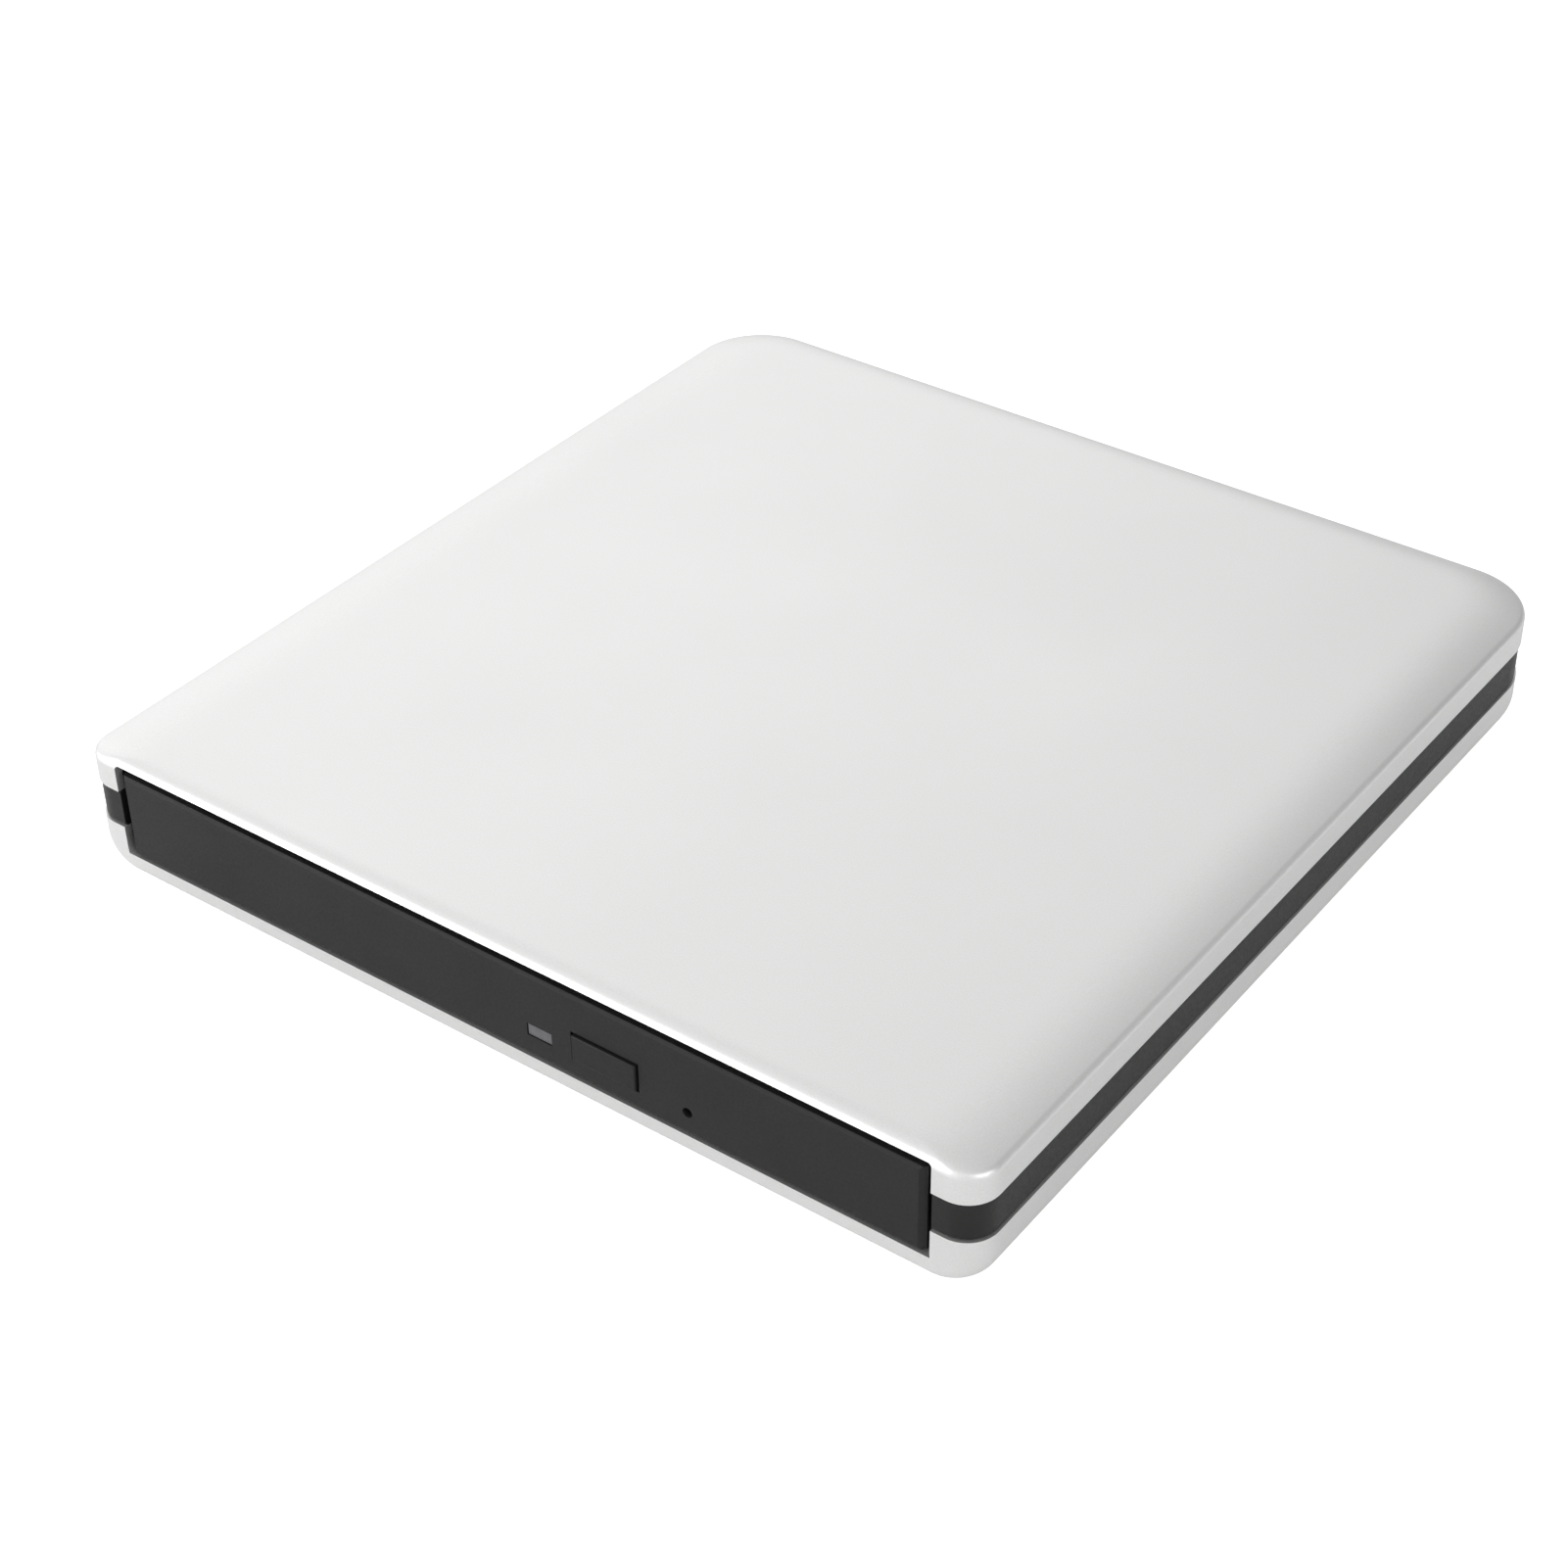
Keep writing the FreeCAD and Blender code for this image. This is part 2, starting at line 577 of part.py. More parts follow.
def case_screws():
    screws = []
    for x, y in case_screw_places():
        slots = [box(x - 1.0, x + 1.0, y - 0.22, y + 0.22, Z_BASE, Z_BASE + 0.8),
                 box(x - 0.22, x + 0.22, y - 1.0, y + 1.0, Z_BASE, Z_BASE + 0.8)]
        screws.append(cut(case_screw(x, y, 0), *slots))
    return screws


# Bridge board and its sockets

def bridge_board():
    (x0, _), (x1, _) = bridge_post_places()
    y0, y1 = DECK_Y + 0.6, REAR - FRAME_IN - 0.5
    holes = [post(x, y, SMALL_SCREW_R + HOLE_FIT, Z_BRIDGE, Z_BRIDGE_TOP)
             for x, y in bridge_post_places()]
    return [cut(box(x0 - 3.5, x1 + 3.5, y0, y1, Z_BRIDGE, Z_BRIDGE_TOP), *holes)]


def bridge_chips():
    """Bridge chip, memory, crystal, regulator coil and a row of capacitors."""
    y = DECK_Y + 7
    chips = [box(2, 9, y - 3.5, y + 3.5, Z_BRIDGE_TOP, Z_BRIDGE_TOP + 1.0),
             box(12, 17, y - 2, y + 2, Z_BRIDGE_TOP, Z_BRIDGE_TOP + 1.4),
             box(20, 23.2, y - 1.3, y + 1.3, Z_BRIDGE_TOP, Z_BRIDGE_TOP + 0.8),
             box(26, 31, y - 2.5, y + 2.5, Z_BRIDGE_TOP, Z_BRIDGE_TOP + 2.2)]
    for n in range(6):
        x = 3 + 4 * n
        chips.append(box(x, x + 1.6, y + 5.2, y + 6.0, Z_BRIDGE_TOP, Z_BRIDGE_TOP + 0.7))
    return chips


def usb_bar(half_w, half_h, y0, y1):
    """Bar along Y with the socket's round-ended section."""
    reach = half_w - half_h
    ends = [bar_y(USB_X + side * reach, Z_USB, half_h, y0, y1) for side in (-1, 1)]
    return join(box(USB_X - reach, USB_X + reach, y0, y1, Z_USB - half_h, Z_USB + half_h), *ends)


def usb_slot(gap):
    return usb_bar(USB_W / 2 + gap, USB_H / 2 + gap, PORT_Y - USB_DEEP - 1, REAR + 1)


def usb_socket():
    outer = usb_bar(USB_W / 2, USB_H / 2, PORT_Y - USB_DEEP, PORT_Y)
    inner = usb_bar(USB_W / 2 - USB_SHELL, USB_H / 2 - USB_SHELL, PORT_Y - USB_DEEP + 0.8, PORT_Y)
    return [cut(outer, inner)]


def usb_tongue():
    y0 = PORT_Y - USB_DEEP + 0.8
    plug = usb_bar(USB_W / 2 - USB_SHELL, USB_H / 2 - USB_SHELL, y0, y0 + 1.4)
    return [join(plug, box(USB_X - 3.3, USB_X + 3.3, y0, PORT_Y - 0.9, Z_USB - 0.35, Z_USB + 0.35))]


def sata_mouth(gap):
    """The room inside the drive's rear plug, or the nose that fills it."""
    half = SATA_W / 2 - SATA_WALL - gap
    z0, z1 = Z_SATA + SATA_WALL + gap, Z_SATA + SATA_H - SATA_WALL - gap
    return half, z0, z1


def sata_plug():
    half, z0, z1 = sata_mouth(0)
    body = box(SATA_X - SATA_W / 2, SATA_X + SATA_W / 2, CHASSIS_REAR - SATA_DEEP, CHASSIS_REAR,
               Z_SATA, Z_SATA + SATA_H)
    room = box(SATA_X - half, SATA_X + half, CHASSIS_REAR - SATA_DEEP + 3, CHASSIS_REAR, z0, z1)
    return [cut(body, room)]


def sata_socket():
    half, z0, z1 = sata_mouth(0.15)
    nose = box(SATA_X - half, SATA_X + half, CHASSIS_REAR - 4, DECK_Y + 0.5, z0, z1)
    body = box(SATA_X - SATA_W / 2, SATA_X + SATA_W / 2, DECK_Y + 0.1, DECK_Y + 6, z0 - 0.4, Z_BRIDGE)
    return [join(nose, body)]


def bracket_foot_screws():
    bx, by = bracket_place()
    return [(bx + side * BRACKET_SCREW_X, by + BRACKET_SCREW_Y) for side in (-1, 1)]


def bracket_wall_screws():
    bx, _ = bracket_place()
    return [(bx + side * BRACKET_SCREW_X, Z_DRIVE + BRACKET_SCREW_RISE) for side in (-1, 1)]


def drive_bracket():
    """Steel angle, screwed to the chassis and to the frame."""
    bx, by = bracket_place()
    x0, x1, t = bx - BRACKET_W / 2, bx + BRACKET_W / 2, BRACKET_T
    wall = box(x0, x1, by, by + t, Z_DRIVE, Z_DRIVE + BRACKET_H)
    foot = box(x0, x1, by, by + BRACKET_FOOT, Z_DRIVE, Z_DRIVE + t)
    r = SMALL_SCREW_R + HOLE_FIT
    holes = [post(x, y, r, Z_DRIVE, Z_DRIVE + t) for x, y in bracket_foot_screws()]
    holes += [bar_y(x, z, r, by, by + t) for x, z in bracket_wall_screws()]
    return [cut(join(wall, foot), *holes)]


def lid_screw_places():
    x, y0, y1 = CHASSIS_IN - 3, CHASSIS_FRONT + 8, CHASSIS_BACK - 4
    return [(-x, y0), (x, y0), (-x, y1), (x, y1)]


def small_screws():
    """Screws of the bridge board, of the bracket and of the drive's top plate."""
    screws = [small_screw(x, y, Z_BRIDGE_TOP, up=False) for x, y in bridge_post_places()]
    screws += [small_screw(x, y, Z_DRIVE + BRACKET_T, up=False) for x, y in bracket_foot_screws()]
    screws += [small_screw(x, y, Z_DRIVE_TOP, up=False) for x, y in lid_screw_places()]
    by = CHASSIS_REAR + BRACKET_T
    for x, z in bracket_wall_screws():
        screws.append(join(bar_y(x, z, SMALL_SCREW_R, by - SMALL_SCREW_L, by),
                           bar_y(x, z, SMALL_HEAD_R, by, by + SMALL_HEAD_H)))
    return screws


# Chassis of the slim drive

def chassis():
    outer = box(-DRIVE_SIDE, DRIVE_SIDE, CHASSIS_FRONT, CHASSIS_REAR, Z_DRIVE, Z_LID)
    inner = box(-CHASSIS_IN, CHASSIS_IN, CHASSIS_FRONT - 1, CHASSIS_BACK, Z_CHASSIS_FLOOR, Z_LID + 1)
    mouth = box(SATA_X - SATA_W / 2 - 0.1, SATA_X + SATA_W / 2 + 0.1, CHASSIS_BACK - 1, CHASSIS_REAR + 1,
                Z_SATA - 0.1, Z_SATA + SATA_H + 0.1)
    body = cut(outer, inner, mouth)
    hole_r = SMALL_SCREW_R + HOLE_FIT
    tabs = [box(x - 3, x + 3, y - 3, y + 3, Z_LID - SHEET, Z_LID) for x, y in lid_screw_places()]
    rests = [post(FLEX_X + dx, REAR_BOARD_Y + 5, 2, Z_CHASSIS_FLOOR, Z_REAR_BOARD) for dx in (-11, 17)]
    holes = [post(x, y, hole_r, Z_LID - 1, Z_LID) for x, y in lid_screw_places()]
    holes += [bar_y(x, z, hole_r, CHASSIS_BACK - 1, CHASSIS_REAR) for x, z in bracket_wall_screws()]
    stud = post(POST_X, POST_Y, POST_R, Z_DRIVE, Z_LEVER_TOP + 0.6)
    return [cut(join(body, stud, *tabs, *rests), *holes)]


def chassis_top_plate():
    plate = box(-DRIVE_SIDE, DRIVE_SIDE, CHASSIS_FRONT, CHASSIS_REAR, Z_LID, Z_DRIVE_TOP)
    beads = [box(-DRIVE_SIDE + 14, DRIVE_SIDE - 14, DISC_Y + dy, DISC_Y + dy + 4,
                 Z_DRIVE_TOP, Z_DRIVE_TOP + 0.4) for dy in (-46, 42)]
    holes = [post(x, y, SMALL_SCREW_R + HOLE_FIT, Z_LID, Z_DRIVE_TOP) for x, y in lid_screw_places()]
    return [cut(join(plate, *beads), *holes)]


def rail_guide():
    """Right-hand channel on the chassis wall; the rail's outer half runs in it."""
    low, high = Z_RAIL - SLIDE_GAP, Z_RAIL_TOP + SLIDE_GAP
    web = box(GUIDE_IN, CHASSIS_IN, RAIL_Y0, RAIL_Y1, low - RAIL_LIP, high + RAIL_LIP)
    reach = RAIL_OUT - RAIL_W * LIP_REACH
    lips = [box(reach, CHASSIS_IN, RAIL_Y0, RAIL_Y1, z, z + RAIL_LIP) for z in (low - RAIL_LIP, high)]
    return join(web, *lips)


def rail_guide_right():
    return [rail_guide()]


def rail_guide_left():
    return both_sides(rail_guide())[1:]


def rail():
    """Right-hand telescopic rail, with a lightening slot."""
    bar = box(RAIL_IN, RAIL_OUT, RAIL_Y0, RAIL_Y1, Z_RAIL, Z_RAIL_TOP)
    middle = (RAIL_IN + RAIL_OUT) / 2
    slots = []
    for n in range(3):
        y = RAIL_Y0 + 18 + 32 * n
        slots.append(box(middle - 0.35, middle + 0.35, y, y + 22, Z_RAIL - 1, Z_RAIL_TOP + 1))
    return cut(bar, *slots)


def rail_right():
    return [rail()]


def rail_left():
    return both_sides(rail())[1:]


def rear_board():
    x0, x1 = FLEX_X - FLEX_W / 2 - 4, SATA_X + SATA_W / 2 + 1
    return [box(x0, x1, REAR_BOARD_Y, CHASSIS_BACK - 0.3, Z_REAR_BOARD, Z_SATA)]


def flex_cable():
    """Flat cable: along the chassis floor, back on itself, and up to the main board."""
    x0, x1 = FLEX_X - FLEX_W / 2, FLEX_X + FLEX_W / 2
    fold_y = BOARD_REAR - (TRAY_TRAVEL - (REAR_BOARD_Y - BOARD_REAR)) / 2 - 2
    low = Z_CHASSIS_FLOOR + 0.05
    high = Z_PLATE - 0.1 - FLEX_T
    t = FLEX_T
    runs = [(REAR_BOARD_Y - 0.5, REAR_BOARD_Y + 1.6, Z_SATA, Z_SATA + t),
            (REAR_BOARD_Y - 0.5, REAR_BOARD_Y - 0.5 + t, low, Z_SATA + t),
            (fold_y, REAR_BOARD_Y - 0.5 + t, low, low + t),
            (fold_y, fold_y + t, low, high + t),
            (fold_y, BOARD_REAR + 0.6, high, high + t),
            (BOARD_REAR + 0.6 - t, BOARD_REAR + 0.6, high, Z_BOARD_TOP + t),
            (BOARD_REAR - 2.0, BOARD_REAR + 0.6, Z_BOARD_TOP, Z_BOARD_TOP + t)]
    return [join(*[box(x0, x1, y0, y1, z0, z1) for y0, y1, z0, z1 in runs])]


# Tray and bezel

def traverse_window(gap):
    """Opening in the tray's floor over the traverse, or with a negative gap the cover in it."""
    z0, z1 = Z_TRAY_FLOOR - 1, Z_RECESS + 1
    round_end = post(0, 0, 17.5 + gap, z0, z1)
    straight = box(0, OUTER_TRACK_R + 5.6 + gap, REAR_MEMBER_V - 1.0 - gap, FRONT_MEMBER_V + 0.9 + gap,
                   z0, z1)
    room = in_traverse(join(round_end, straight))
    side = CHANNEL_IN - 1.0 + gap
    limits = box(-side, side, TRAY_WALL + 1.0 - gap, TRAY_REAR, z0, z1)
    return room.common(limits)


def lens_notch(z0, z1):
    """Way of the lens holder through the tray's floor and rim."""
    return in_traverse(box(14, OUTER_TRACK_R + 4.2, -LENS_SLOT_HALF_V, LENS_SLOT_HALF_V, z0, z1))


def board_screw_places():
    """Screws through the bottom plate and the main board into the tray's bosses."""
    return [(-8.0, TRAY_WALL + 6), (LANE_IN - 5, BOARD_NOTCH_Y + 6), (LANE_IN - 5, DISC_Y + 32),
            (1.0, DISC_Y + 40)]


def side_screw_places():
    """Screws of the bottom plate beside the board, into long bosses."""
    return [(-CHANNEL_IN + 6, DISC_Y + 44), (-CHANNEL_IN + 6, DISC_Y + 4),
            (PIN_HOLE_X + 10, TRAY_WALL + 4.5)]


def damper_places():
    """Dampers in the traverse's own directions."""
    return DAMPER_PLACES


def tray_channel():
    """Right-hand channel under the tray's edge; the rail's inner half runs in it."""
    y0, y1 = TRAY_FRONT, TRAY_REAR
    low, high = Z_RAIL - SLIDE_GAP, Z_RAIL_TOP + SLIDE_GAP
    web = box(CHANNEL_IN, CHANNEL_OUT, y0, y1, low - RAIL_LIP, Z_TRAY_FLOOR)
    reach = RAIL_IN + RAIL_W * LIP_REACH
    lips = [box(CHANNEL_IN, reach, RAIL_Y0 - 0.5, y1, z, z + RAIL_LIP) for z in (low - RAIL_LIP, high)]
    return join(web, *lips)


def ejector_block():
    """Housing of the ejector under the tray's rear edge, with the bore of its rod and spring."""
    y1 = ejector_collar_y() + EJECTOR_TRAVEL + 2.2
    y0 = ejector_collar_y() - EJECTOR_TRAVEL - 1.0
    half = COLLAR_R + EJECTOR_WALL
    body = box(EJECTOR_X - half, EJECTOR_X + half, y0, y1, Z_PLATE_TOP + 0.1, Z_TRAY_FLOOR)
    bore = bar_y(EJECTOR_X, Z_EJECTOR, COLLAR_R + RUN_FIT, y0 + 0.8, y1 - 1.0)
    way = bar_y(EJECTOR_X, Z_EJECTOR, EJECTOR_R + RUN_FIT, y0 + 1.0, y1 + 1)
    return body, join(bore, way)


def ejector_collar_y():
    """Front face of the rod's collar at rest."""
    return TRAY_REAR - EJECTOR_TRAVEL - 8.0


def tray():
    slab = box(-TRAY_SIDE, TRAY_SIDE, TRAY_FRONT, TRAY_REAR, Z_TRAY_FLOOR, Z_RIM)
    recess = post(0, DISC_Y, RECESS_R, Z_RECESS, Z_RIM)
    slab = cut(slab, recess, traverse_window(0).common(box(-SIDE, SIDE, FRONT, REAR, 0, Z_RECESS)))
    front = box(-CHANNEL_OUT, CHANNEL_OUT, TRAY_FRONT, TRAY_WALL, Z_PLATE_TOP, Z_TRAY_FLOOR)
    eject_body, eject_bore = ejector_block()
    boss_r = 2.2
    bosses = [post(x, y, boss_r, Z_BOARD_TOP, Z_TRAY_FLOOR) for x, y in board_screw_places()]
    bosses += [post(x, y, boss_r, Z_PLATE_TOP, Z_TRAY_FLOOR) for x, y in side_screw_places()]
    bosses.append(post(LATCH_X, LEVER_Y, 2.0, Z_LEVER_TOP + 0.1, Z_TRAY_FLOOR))
    body = join(slab, front, eject_body, *both_sides(tray_channel()), *bosses)
    return [cut(body, eject_bore, lens_notch(Z_TRAY_FLOOR, Z_RIM + 1), *tray_holes())]


def tray_holes():
    """Holes for screws and pins, and the openings in the front wall behind the bezel."""
    r = SMALL_SCREW_R + HOLE_FIT
    z_end = Z_PLATE + SMALL_SCREW_L
    holes = [post(x, y, r, Z_PLATE, z_end) for x, y in board_screw_places() + side_screw_places()]
    holes.append(post(LATCH_X, LEVER_Y, PLUNGER_R, Z_LEVER_TOP, Z_TRAY_FLOOR + 0.5))
    damper_hole = [in_traverse(post(u, v, r, Z_TRAY_FLOOR - 1, Z_RECESS - 0.2)) for u, v in damper_places()]
    y0, y1 = TRAY_FRONT - 0.1, TRAY_WALL
    room = BUTTON_FLANGE + 0.5
    holes.append(box(BUTTON_X - BUTTON_W / 2 - room, BUTTON_X + BUTTON_W / 2 + room, y0, y1 + 0.1,
                     Z_BUTTON - BUTTON_H / 2 - room, Z_TRAY_FLOOR))
    holes.append(box(WINDOW_X - WINDOW_W / 2 - 0.2, WINDOW_X + WINDOW_W / 2 + 0.2, y0, y1 + 0.1,
                     Z_WINDOW - WINDOW_H / 2 - 0.2, Z_WINDOW + WINDOW_H / 2 + 0.2))
    holes.append(bar_y(PIN_HOLE_X, Z_PIN, PIN_HOLE_R + 0.4, y0, y1))
    lug = BEZEL_LUG / 2 + 0.1
    for x in (-bezel_lug_x(), bezel_lug_x()):
        holes.append(box(x - lug, x + lug, y0, y1, Z_RECESS + 0.5, Z_RIM - 0.5))
    return holes + damper_hole


def bezel_lug_x():
    return DRIVE_SIDE - BEZEL_LUG_INSET


def front_bezel():
    """Hollow-backed bezel with a bevelled face, its button, window and pin holes, and two lugs."""
    outer = box(-DRIVE_SIDE, DRIVE_SIDE, FRONT, TRAY_FRONT, Z_BEZEL, Z_BEZEL_TOP)
    ends = [e for e in outer.Edges if on_face(e) and e.BoundBox.XLength < BEZEL_EDGE]
    outer = outer.makeChamfer(BEZEL_END, ends)
    long_edges = [e for e in outer.Edges if on_face(e) and e.BoundBox.ZLength < BEZEL_EDGE]
    outer = outer.makeChamfer(BEZEL_EDGE, long_edges)
    back = box(-DRIVE_SIDE + BEZEL_RIM, DRIVE_SIDE - BEZEL_RIM, FRONT + BEZEL_PLATE, TRAY_FRONT,
               Z_BEZEL + BEZEL_RIM, Z_BEZEL_TOP - BEZEL_RIM)
    half_w, half_h = BUTTON_W / 2 + BUTTON_GAP, BUTTON_H / 2 + BUTTON_GAP
    button = box(BUTTON_X - half_w, BUTTON_X + half_w, FRONT - 1, TRAY_FRONT, Z_BUTTON - half_h,
                 Z_BUTTON + half_h)
    window = box(WINDOW_X - WINDOW_W / 2 - 0.05, WINDOW_X + WINDOW_W / 2 + 0.05, FRONT - 1, TRAY_FRONT,
                 Z_WINDOW - WINDOW_H / 2 - 0.05, Z_WINDOW + WINDOW_H / 2 + 0.05)
    pin = bar_y(PIN_HOLE_X, Z_PIN, PIN_HOLE_R, FRONT - 1, TRAY_FRONT)
    body = cut(outer, back)
    lug = BEZEL_LUG / 2
    lugs = [box(x - lug, x + lug, FRONT + 1, TRAY_WALL - 0.1, Z_RECESS + 0.6, Z_RIM - 0.6)
            for x in (-bezel_lug_x(), bezel_lug_x())]
    return [cut(join(body, *lugs), button, window, pin)]


def on_face(edge):
    return all(abs(v.Point.y - FRONT) < 1e-6 for v in edge.Vertexes)


def status_window():
    """Light pipe from the status lamp to the bezel's face."""
    return [box(WINDOW_X - WINDOW_W / 2, WINDOW_X + WINDOW_W / 2, FRONT + WINDOW_SINK, TRAY_WALL + 0.4,
                Z_WINDOW - WINDOW_H / 2, Z_WINDOW + WINDOW_H / 2)]


def eject_button():
    """Button with its flange behind the bezel's plate and the pad that meets the switch."""
    y1 = FRONT + BEZEL_PLATE + 0.05
    cap = box(BUTTON_X - BUTTON_W / 2, BUTTON_X + BUTTON_W / 2, FRONT - BUTTON_PROUD, y1 + 0.1,
              Z_BUTTON - BUTTON_H / 2, Z_BUTTON + BUTTON_H / 2)
    cap = cap.makeFillet(0.25, [e for e in cap.Edges if e.BoundBox.YMax < FRONT])
    w, h = BUTTON_W / 2 + BUTTON_FLANGE, BUTTON_H / 2 + BUTTON_FLANGE
    flange = box(BUTTON_X - w, BUTTON_X + w, y1, y1 + 0.6, Z_BUTTON - h, Z_BUTTON + h)
    return [join(cap, flange)]


def button_stem_y():
    """Front and rear ends of the switch's stem."""
    return FRONT + BEZEL_PLATE + 0.65, TRAY_WALL + 2.2


def z_switch():
    return Z_BOARD_TOP + 1.6


def switch_stem():
    y0, y1 = button_stem_y()
    return [bar_y(BUTTON_X, z_switch(), STEM_R, y0, y1)]


def button_switch():
    y0 = TRAY_WALL + 1.4
    body = box(BUTTON_X - 2.2, BUTTON_X + 2.2, y0, y0 + 3.4, Z_BOARD_TOP, Z_BOARD_TOP + 3.1)
    _, stem_end = button_stem_y()
    way = bar_y(BUTTON_X, z_switch(), STEM_R + RUN_FIT, y0 - 1, stem_end + BUTTON_TRAVEL + 0.2)
    return [cut(body, way)]


def tray_bottom_plate():
    """Thin plate under the tray, clear of the latch post's path and of the flat cable."""
    x0 = -CHANNEL_IN + 0.1
    plate = box(x0, LANE_IN, TRAY_FRONT, BOARD_REAR + 2.5, Z_PLATE, Z_PLATE_TOP)
    slot = box(FLEX_X - FLEX_W / 2 - 1, FLEX_X + FLEX_W / 2 + 1, BOARD_REAR + 0.2, BOARD_REAR + 3,
               Z_PLATE - 1, Z_PLATE_TOP + 1)
    stands = [post(x, y, 2.0, Z_PLATE_TOP, Z_BOARD) for x, y in board_screw_places()]
    holes = [post(x, y, SMALL_SCREW_R + HOLE_FIT, Z_PLATE, Z_BOARD)
             for x, y in board_screw_places() + side_screw_places()]
    return [cut(join(plate, *stands), slot, *holes)]


def tray_screws():
    """Screws of the bottom plate and of the traverse's dampers."""
    screws = [small_screw(x, y, Z_PLATE) for x, y in board_screw_places() + side_screw_places()]
    for u, v in damper_places():
        z = Z_TRAY_FLOOR - damper_height()
        head = post(u, v, 2.0, z - 0.6, z)
        screws.append(in_traverse(join(head, post(u, v, SMALL_SCREW_R, z, Z_RECESS - 0.3))))
    return screws


def main_board():
    """Board with a strip along the front, clear of the latch, and a wide part behind it."""
    x1 = LANE_IN - 0.3
    front_x = PIN_HOLE_X - 4.0
    half = math.sqrt(0.5)
    reach = (FRONT_MEMBER_V + MEMBER_W + 0.8) / half
    back = -(SPINDLE_END_U - 1.6) / half
    y0, y1 = TRAY_WALL + 0.3, BOARD_REAR
    knee = (reach + back) / 2, DISC_Y + (back - reach) / 2
    outline_points = [(y0 - DISC_Y + reach, y0), (front_x, y0), (front_x, BOARD_NOTCH_Y),
                      (x1, BOARD_NOTCH_Y), (x1, y1), (back + DISC_Y - y1, y1), knee]
    board = prism(outline_points, Z_BOARD, Z_BOARD_TOP)
    holes = [post(x, y, SMALL_SCREW_R + HOLE_FIT, Z_BOARD, Z_BOARD_TOP) for x, y in board_screw_places()]
    block, _ = ejector_block()
    ejector_room = box(block.BoundBox.XMin - 0.4, x1 + 1, block.BoundBox.YMin - 0.4, y1 + 1, Z_BOARD,
                       Z_BOARD_TOP)
    return [cut(board, ejector_room, *holes)]


def main_chips():
    """Controller, memory, motor driver, flat-cable connector, status lamp and small parts."""
    z = Z_BOARD_TOP
    x1 = EJECTOR_X - CHIPS_CLEAR
    y_mid = DISC_Y + CHIPS_Y
    chips = [box(x1 - 27, x1 - 14, y_mid - 3, y_mid + 10, z, z + 1.2),
             box(x1 - 9, x1, y_mid - 3, y_mid + 4, z, z + 1.0),
             box(x1 - 9, x1, y_mid - 18, y_mid - 9, z, z + 1.2),
             box(-8.5, -2.5, y_mid + 10, y_mid + 14, z, z + 1.0)]
    chips.append(box(FLEX_X - FLEX_W / 2 - 1, FLEX_X + FLEX_W / 2 + 1, BOARD_REAR - 4.4, BOARD_REAR - 2.1,
                     z, z + 1.6))
    chips.append(box(WINDOW_X - 1.6, WINDOW_X + 1.6, TRAY_WALL + 0.5, TRAY_WALL + 2.0, z, z + 1.7))
    for n in range(5):
        x = x1 - 10 + 3 * n
        chips.append(box(x, x + 1.6, y_mid + 9, y_mid + 9.8, z, z + 0.8))
    return chips


# Latch and ejector

def latch_pivot():
    """Shouldered pin that the latch lever turns on."""
    head = post(LATCH_X, LEVER_Y, 1.8, Z_LEVER - 0.6, Z_LEVER - 0.05)
    return [join(head, post(LATCH_X, LEVER_Y, PLUNGER_R - HOLE_FIT, Z_LEVER - 0.05, Z_TRAY_FLOOR + 0.4))]


def lever_arm(x0, y0, x1, y1, width):
    """Flat arm between two places, with round ends."""
    length = math.hypot(x1 - x0, y1 - y0)
    bar = box(0, length, -width / 2, width / 2, Z_LEVER, Z_LEVER_TOP)
    ends = [post(x, 0, width / 2, Z_LEVER, Z_LEVER_TOP) for x in (0, length)]
    arm = join(bar, *ends)
    arm.rotate(vec(0, 0, 0), vec(0, 0, 1), math.degrees(math.atan2(y1 - y0, x1 - x0)))
    arm.translate(vec(x0, y0, 0))
    return arm


def latch_lever():
    """Bell crank, drawn let go. Locked, its hook stands behind the latch post."""
    hook_y = POST_Y + POST_R + 0.3 + 1.0
    push_y = LEVER_Y - 2.5
    body = join(post(LATCH_X, LEVER_Y, 2.6, Z_LEVER, Z_LEVER_TOP),
                lever_arm(LATCH_X, LEVER_Y, LATCH_X + 1.6, hook_y, LEVER_W),
                lever_arm(LATCH_X + 1.6, hook_y, POST_X, hook_y, 2.0),
                lever_arm(LATCH_X, LEVER_Y, PIN_HOLE_X, push_y, LEVER_W))
    lever = body.copy()
    lever.rotate(vec(LATCH_X, LEVER_Y, 0), vec(0, 0, 1), -LATCH_TURN)
    pin = plunger_pin_y()
    slot = box(PLUNGER_X - 1.3, PLUNGER_X + 1.3, pin - 0.7, pin + 0.7, Z_LEVER - 1, Z_LEVER_TOP + 1)
    hole = post(LATCH_X, LEVER_Y, PLUNGER_R - HOLE_FIT + RUN_FIT, Z_LEVER - 1, Z_LEVER_TOP + 1)
    return [cut(lever, slot, hole)]


def plunger_pin_y():
    """Place along Y of the plunger's pin at rest, on the middle line of the lever's long arm."""
    reach = LATCH_X - PLUNGER_X
    locked = math.atan2(-2.5, PIN_HOLE_X - LATCH_X)
    turned = locked - math.radians(LATCH_TURN)
    return LEVER_Y - reach * math.tan(turned)


def solenoid_plunger():
    y = plunger_pin_y()
    bar = bar_y(PLUNGER_X, Z_PLUNGER, PLUNGER_R, y - 0.9, coil_y() + COIL_DEEP - 2)
    pin = post(PLUNGER_X, y, 0.5, Z_LEVER + 0.05, Z_PLUNGER)
    return [join(bar, pin)]


def coil_y():
    return LEVER_Y + 4.6


